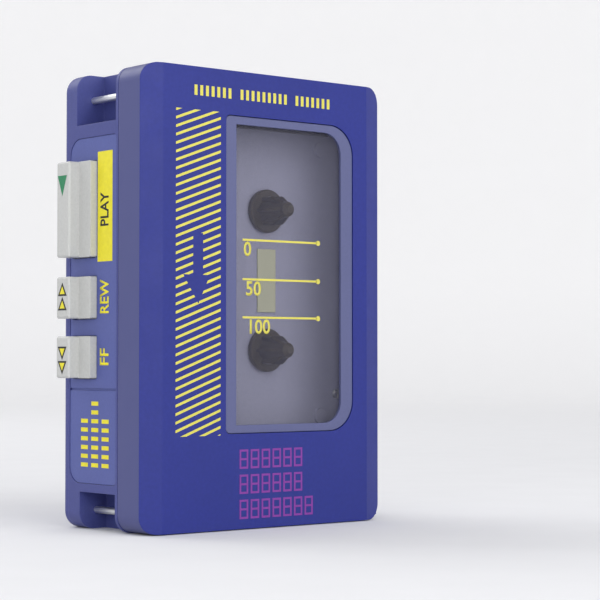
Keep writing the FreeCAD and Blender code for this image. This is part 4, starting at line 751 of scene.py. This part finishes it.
class PLAYER_OT_window_scale(bpy.types.Operator):
    """Print the tape scale on the window pane"""

    bl_idname = "player.window_scale"
    bl_label = "Window scale"

    # in millimetres along x and z
    MARKS = ((84.8, "0", -7.2), (73.2, "50", -5), (62, "100", -3))    # height, number, its x
    LINE_LEFT, LINE_RIGHT = -9, 19.4
    LINE_HALF_WIDTH = 0.3
    DOT_X = 19.9
    DOT_RADIUS = 0.8
    DOT_CORNERS = 16
    NUMBER_SIZE = 5.9
    NUMBER_DROP = 2.9

    def place(self, x, z):
        """A point of a print on the pane."""
        return on_door(x, z, PANE)

    def dot(self, z):
        """The corners of the round end of a line."""
        turns = [corner * math.tau / self.DOT_CORNERS for corner in range(self.DOT_CORNERS)]
        return [self.place(self.DOT_X + self.DOT_RADIUS * math.cos(turn),
                           z + self.DOT_RADIUS * math.sin(turn)) for turn in turns]

    def execute(self, context):
        marks = []
        for z, number, x in self.MARKS:
            marks.append(block(self.place, (self.LINE_LEFT, z - self.LINE_HALF_WIDTH),
                               (self.LINE_RIGHT, z + self.LINE_HALF_WIDTH), OUT_OF_DOOR))
            marks.append(film(self.dot(z), OUT_OF_DOOR))
            marks.append(lettering(number, self.NUMBER_SIZE * MM,
                                   self.place(x, z - self.NUMBER_DROP), FACING_FRONT,
                                   OUT_OF_DOOR))
        settle(join(marks), "window_scale_print", "front_yellow", "door")
        return {"FINISHED"}


class PLAYER_OT_side_labels(bpy.types.Operator):
    """Print the key names and the three rows of ticks on the side panel"""

    bl_idname = "player.side_labels"
    bl_label = "Side labels"

    # in millimetres along y and z
    STRIP_LOW, STRIP_HIGH = (-5, 78), (2.6, 110)
    NAME_Y = -1.2
    PLAY_SIZE, PLAY_Z = 5.8, 93
    REW_Z, FF_Z = 67.7, 50.3
    WINDING_SIZE = 6.2
    NARROW, FF_NARROW = 0.75, 0.9                 # widths of the letters, as shares
    TICK_ROWS = ((-1.6, 6), (3.8, 8), (9.2, 6))   # y of each row, number of ticks
    TICK_HALF_WIDTH = 1.8
    TICK_LOW, TICK_HIGH = 18.4, 19.6
    TICK_PITCH = 2.55

    def execute(self, context):
        strip = block(on_side, self.STRIP_LOW, self.STRIP_HIGH, OUT_OF_SIDE)
        settle(strip, "play_label_strip", "side_yellow", "chassis")
        words = lettering("PLAY", self.PLAY_SIZE * MM,
                          on_side(self.NAME_Y, self.PLAY_Z) + OUT_OF_SIDE * INK, UP_THE_SIDE,
                          OUT_OF_SIDE, self.NARROW)
        settle(words, "play_label", "black_ink", "chassis")
        names = [
            lettering(name, self.WINDING_SIZE * MM, on_side(self.NAME_Y, z), UP_THE_SIDE,
                      OUT_OF_SIDE, width)
            for name, z, width in (("REW", self.REW_Z, self.NARROW),
                                   ("FF", self.FF_Z, self.FF_NARROW))
        ]
        settle(join(names), "winding_labels", "side_yellow", "chassis")
        ticks = []
        for row, count in self.TICK_ROWS:
            tick = block(on_side, (row - self.TICK_HALF_WIDTH, self.TICK_LOW),
                         (row + self.TICK_HALF_WIDTH, self.TICK_HIGH), OUT_OF_SIDE)
            ticks.append(repeat(tick, count, (0, 0, self.TICK_PITCH * MM)))
        settle(join(ticks), "side_ticks", "side_yellow", "chassis")
        return {"FINISHED"}


class PLAYER_OT_key_springs(bpy.types.Operator):
    """Wind the return springs behind the keys"""

    bl_idname = "player.key_springs"
    bl_label = "Key springs"

    TURNS = 4
    STEPS = 20 * TURNS
    WIRE = 0.22 * MM         # radius of the wire
    WIRE_CORNERS = 8

    def coil(self, low, high):
        """A spring along x between the corners of a box."""
        middle = (low + high) / 2
        radius = (high.z - low.z) / 2 - self.WIRE
        span = high.x - low.x - 2 * self.WIRE
        start()
        bpy.ops.mesh.primitive_circle_add(
            vertices=self.WIRE_CORNERS, radius=self.WIRE,
            location=(low.x + self.WIRE, middle.y + radius, middle.z))
        spring = bpy.context.active_object
        keep_place()
        bpy.ops.object.mode_set(mode="EDIT")
        bpy.ops.mesh.select_all(action="SELECT")
        bpy.ops.mesh.spin(steps=self.STEPS, angle=math.tau * self.TURNS,
                          center=(low.x, middle.y, middle.z), axis=(1, 0, 0))
        object_mode()
        for index, vertex in enumerate(spring.data.vertices):
            step = index // self.WIRE_CORNERS
            vertex.co.x += span * step / self.STEPS
        bpy.ops.object.mode_set(mode="EDIT")
        bpy.ops.mesh.select_all(action="SELECT")
        bpy.ops.mesh.fill_holes(sides=0)
        bpy.ops.mesh.normals_make_consistent(inside=False)
        object_mode()
        bpy.ops.object.shade_smooth()
        return spring

    def execute(self, context):
        for key, joint in (("play_key", "play_key_press"), ("rew_key", "rew_key_press"),
                           ("ff_key", "ff_key_press")):
            low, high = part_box(f"{key}_spring")
            spring = settle(self.coil(low, high), f"{key}_coil", "bright", "chassis")
            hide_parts(f"{key}_spring")
            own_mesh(spring)
        return {"FINISHED"}


# where the four screws of the deck and of the rear cover are, in millimetres along x and z
SCREWS = ((-29.5, 127), (39.8, 127), (39.8, 38.9), (-29.5, 7.5))


class PLAYER_OT_screws(bpy.types.Operator):
    """Turn the screws, with their threads and cross recesses"""

    bl_idname = "player.screws"
    bl_label = "Screws"

    HEAD = 1.6 * MM          # radius of the head
    SHANK = 0.8 * MM         # radius of the shank over its thread
    PITCH = 0.6 * MM
    CORNERS = 24
    # the outline of the head, as shares of its radius and its height
    HEAD_OUTLINE = ((0, -1), (0.55, -1), (0.85, -0.8), (1, -0.4), (1, 0))
    # a turn of the thread, and the tip, as shares of the shank's radius and the pitch
    THREAD_OUTLINE = ((0.8, 0.35), (0.8, 0.5), (1, 0.85))
    TIP_OUTLINE = (0.75, 0.3)
    # the two slots of the recess: their turns in degrees, their length and width as shares of
    # the head's radius, and their depth as a share of its height
    SLOT_TURNS = (20, 110)
    SLOT_LENGTH, SLOT_WIDTH, SLOT_DEPTH = 1.3, 0.26, 0.55

    def profile(self, height, length):
        """Half the outline of a screw, from the middle of its head to its tip."""
        points = [(across * self.HEAD, along * height) for across, along in self.HEAD_OUTLINE]
        points.append((self.SHANK, 0))
        for turn in range(int(length / self.PITCH) - 1):
            points += [(across * self.SHANK, turn * self.PITCH + along * self.PITCH)
                       for across, along in self.THREAD_OUTLINE]
        across, along = self.TIP_OUTLINE
        return points + [(across * self.SHANK, length - along * self.PITCH), (0, length)]

    def screw(self, height, length):
        """A turned screw that faces the front, its seat at the origin."""
        outline = self.profile(height, length)
        start()
        bpy.ops.mesh.primitive_circle_add(vertices=len(outline), radius=1, fill_type="NOTHING")
        piece = bpy.context.active_object
        for vertex, (x, y) in zip(piece.data.vertices, outline):
            vertex.co = (x, y, 0)
        bpy.ops.object.mode_set(mode="EDIT")
        bpy.ops.mesh.select_all(action="SELECT")
        bpy.ops.mesh.spin(steps=self.CORNERS, angle=math.tau, center=(0, 0, 0),
                          axis=(0, 1, 0))
        bpy.ops.mesh.select_all(action="SELECT")
        bpy.ops.mesh.remove_doubles(threshold=WELD)
        bpy.ops.mesh.dissolve_degenerate(threshold=WELD)
        bpy.ops.mesh.normals_make_consistent(inside=False)
        object_mode()
        for turn in self.SLOT_TURNS:
            self.recess(piece, height, turn)
        return piece

    def recess(self, piece, height, turn):
        """Cuts one slot of the cross into the head."""
        start()
        bpy.ops.mesh.primitive_cube_add(size=1, location=(0, -height, 0),
                                        rotation=(0, math.radians(turn), 0))
        cutter = bpy.context.active_object
        cutter.scale = (self.SLOT_LENGTH * self.HEAD, 2 * self.SLOT_DEPTH * height,
                        self.SLOT_WIDTH * self.HEAD)
        keep_place()
        start()
        piece.select_set(True)
        bpy.context.view_layer.objects.active = piece
        slot = piece.modifiers.new("recess", "BOOLEAN")
        slot.operation = "DIFFERENCE"
        slot.solver = "EXACT"
        slot.object = cutter
        bpy.ops.object.modifier_apply(modifier="recess")
        bpy.data.objects.remove(cutter)

    def set_of_screws(self, node, height, turn):
        """Four screws in their places, turned to face the front or the back."""
        low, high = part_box(node)
        length = high.y - low.y - height
        seat = low.y + height if turn == 0 else high.y - height
        screws = []
        for x, z in SCREWS:
            screw = self.screw(height, length)
            screw.rotation_euler = (0, 0, turn)
            screw.location = (x * MM, seat, z * MM)
            keep_place()
            screws.append(screw)
        piece = settle(join(screws), f"{node}_turned", "screw", "chassis")
        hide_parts(node)

    def execute(self, context):
        self.set_of_screws("deck_screws", height=1 * MM, turn=0)
        self.set_of_screws("rear_screws", height=0.8 * MM, turn=math.pi)
        return {"FINISHED"}


class PLAYER_OT_stage(bpy.types.Operator):
    """Set up the floor, the lights and the camera"""

    bl_idname = "player.stage"
    bl_label = "Stage"

    # the sweep, in metres
    FLOOR_RADIUS = 1.6
    FLOOR_CORNERS = 96
    CURVE_RADIUS = 1.2
    CURVE_STEPS = 9
    PAPER, PAPER_SHADE = (0.8, 0.8, 0.81), (0.77, 0.77, 0.78)
    GLOW = (1, 0.99, 0.96, 1)
    GLOW_STARTS, GLOW_FULL = 0.4, 2.2      # distances from the player
    GLOW_STRENGTH = 0.27
    SKY = (0.95, 0.955, 0.99, 1)
    SKY_STRENGTH = 0.64
    # name, place, point it faces, width in metres, power in watts
    LAMPS = (
        ("key_light", (0.1, -1.25, 0.55), (0, 0, 0.06), 1.4, 13),
        ("fill_light", (-0.9, -0.75, 0.3), (0, 0, 0.07), 0.9, 4.2),
        ("back_light", (-0.3, 0.9, 0.9), (0, 0, 0.08), 0.8, 5),
    )
    # where the camera is, how it looks, and its lens in millimetres
    VIEWER = (-0.35019, -0.45864, 0.0501)
    VIEWER_YAW, VIEWER_PITCH = math.radians(39.6), math.radians(1.75)
    VIEWER_LENS = 113.8
    VIEWER_NEAR = 0.01

    def lamp(self, name, place, aim, size, power):
        """A soft square light."""
        start()
        bpy.ops.object.light_add(type="AREA", location=place)
        light = bpy.context.active_object
        light.name = name
        light.data.size = size
        light.data.energy = power
        light.rotation_euler = (Vector(aim) - Vector(place)).to_track_quat("-Z", "Y").to_euler()

    def paper(self):
        """Pale paper that glows a little further out, so that floor and wall look alike."""
        paper = Finish("paper_sweep", self.PAPER, roughness=0.9)
        paper.tint(paper.noise(40), self.PAPER_SHADE, amount=0.5)
        distance = paper.nodes.new("ShaderNodeVectorMath")
        distance.operation = "LENGTH"
        paper.links.new(paper.place, distance.inputs[0])
        ramp = paper.nodes.new("ShaderNodeMapRange")
        ramp.inputs["From Min"].default_value = self.GLOW_STARTS
        ramp.inputs["From Max"].default_value = self.GLOW_FULL
        ramp.inputs["To Max"].default_value = self.GLOW_STRENGTH
        paper.links.new(distance.outputs["Value"], ramp.inputs["Value"])
        paper.shader.inputs["Emission Color"].default_value = self.GLOW
        paper.links.new(ramp.outputs["Result"], paper.shader.inputs["Emission Strength"])
        return paper.done()

    def sweep(self):
        """A round paper floor that curves up into a low wall on every side."""
        start()
        bpy.ops.mesh.primitive_circle_add(
            vertices=self.FLOOR_CORNERS, radius=self.FLOOR_RADIUS, fill_type="TRIFAN")
        floor = bpy.context.active_object
        floor.name = "studio_floor"
        bpy.ops.object.mode_set(mode="EDIT")
        bpy.ops.mesh.select_all(action="DESELECT")
        object_mode()
        rim = self.FLOOR_RADIUS / 2      # all corners but the middle one lie beyond this
        for edge in floor.data.edges:
            edge.select = all(floor.data.vertices[i].co.length > rim for i in edge.vertices)
        bpy.ops.object.mode_set(mode="EDIT")
        bpy.context.tool_settings.mesh_select_mode = (False, True, False)
        reach, rise = self.FLOOR_RADIUS, 0.0
        for step in range(1, self.CURVE_STEPS + 1):
            angle = math.radians(step * 90 / self.CURVE_STEPS)
            radius = self.FLOOR_RADIUS + self.CURVE_RADIUS * math.sin(angle)
            height = self.CURVE_RADIUS * (1 - math.cos(angle))
            bpy.ops.mesh.extrude_edges_move(
                TRANSFORM_OT_translate={"value": (0, 0, height - rise)})
            bpy.ops.transform.resize(value=(radius / reach, radius / reach, 1),
                                     center_override=(0, 0, 0))
            reach, rise = radius, height
        bpy.context.tool_settings.mesh_select_mode = (True, False, False)
        bpy.ops.mesh.select_all(action="SELECT")
        bpy.ops.mesh.normals_make_consistent(inside=True)
        object_mode()
        bpy.ops.object.shade_smooth()
        floor.data.materials.append(self.paper())
        return floor

    def execute(self, context):
        self.sweep()
        world = bpy.data.worlds.new("studio")
        context.scene.world = world
        world.use_nodes = True
        sky = world.node_tree.nodes["Background"]
        sky.inputs["Color"].default_value = self.SKY
        sky.inputs["Strength"].default_value = self.SKY_STRENGTH
        for lamp in self.LAMPS:
            self.lamp(*lamp)
        camera = bpy.data.cameras.new("camera")
        viewer = bpy.data.objects.new("camera", camera)
        context.scene.collection.objects.link(viewer)
        viewer.location = self.VIEWER
        viewer.rotation_euler = (math.radians(90) + self.VIEWER_PITCH, 0, -self.VIEWER_YAW)
        camera.lens = self.VIEWER_LENS
        camera.clip_start = self.VIEWER_NEAR
        context.scene.camera = viewer
        context.scene.view_settings.view_transform = "Standard"
        return {"FINISHED"}


OPERATORS = (
    PLAYER_OT_stage,
    PLAYER_OT_casing,
    PLAYER_OT_window,
    PLAYER_OT_keys,
    PLAYER_OT_mechanism,
    PLAYER_OT_striped_band,
    PLAYER_OT_door_print,
    PLAYER_OT_window_scale,
    PLAYER_OT_side_labels,
    PLAYER_OT_key_springs,
    PLAYER_OT_screws,
)


class PLAYER_PT_panel(bpy.types.Panel):
    """Lists the pieces and their settings"""

    bl_label = "Cassette player"
    bl_space_type = "VIEW_3D"
    bl_region_type = "UI"
    bl_category = "Player"

    def draw(self, context):
        for operator in OPERATORS:
            self.layout.operator(operator.bl_idname)
        for group in (context.scene.player_colours, context.scene.player_print):
            for setting in group.__annotations__:
                self.layout.prop(group, setting)


CLASSES = (PlayerColours, PlayerPrint, *OPERATORS, PLAYER_PT_panel)


def register():
    """Registers the classes and their settings."""
    for item in CLASSES:
        bpy.utils.register_class(item)
    bpy.types.Scene.player_colours = bpy.props.PointerProperty(type=PlayerColours)
    bpy.types.Scene.player_print = bpy.props.PointerProperty(type=PlayerPrint)


def unregister():
    """Takes back what register did."""
    del bpy.types.Scene.player_print
    del bpy.types.Scene.player_colours
    for item in reversed(CLASSES):
        bpy.utils.unregister_class(item)


def main():
    """Builds every piece in order."""
    register()
    for operator in OPERATORS:
        group, name = operator.bl_idname.split(".")
        getattr(getattr(bpy.ops, group), name)()


if __name__ == "__main__":
    main()
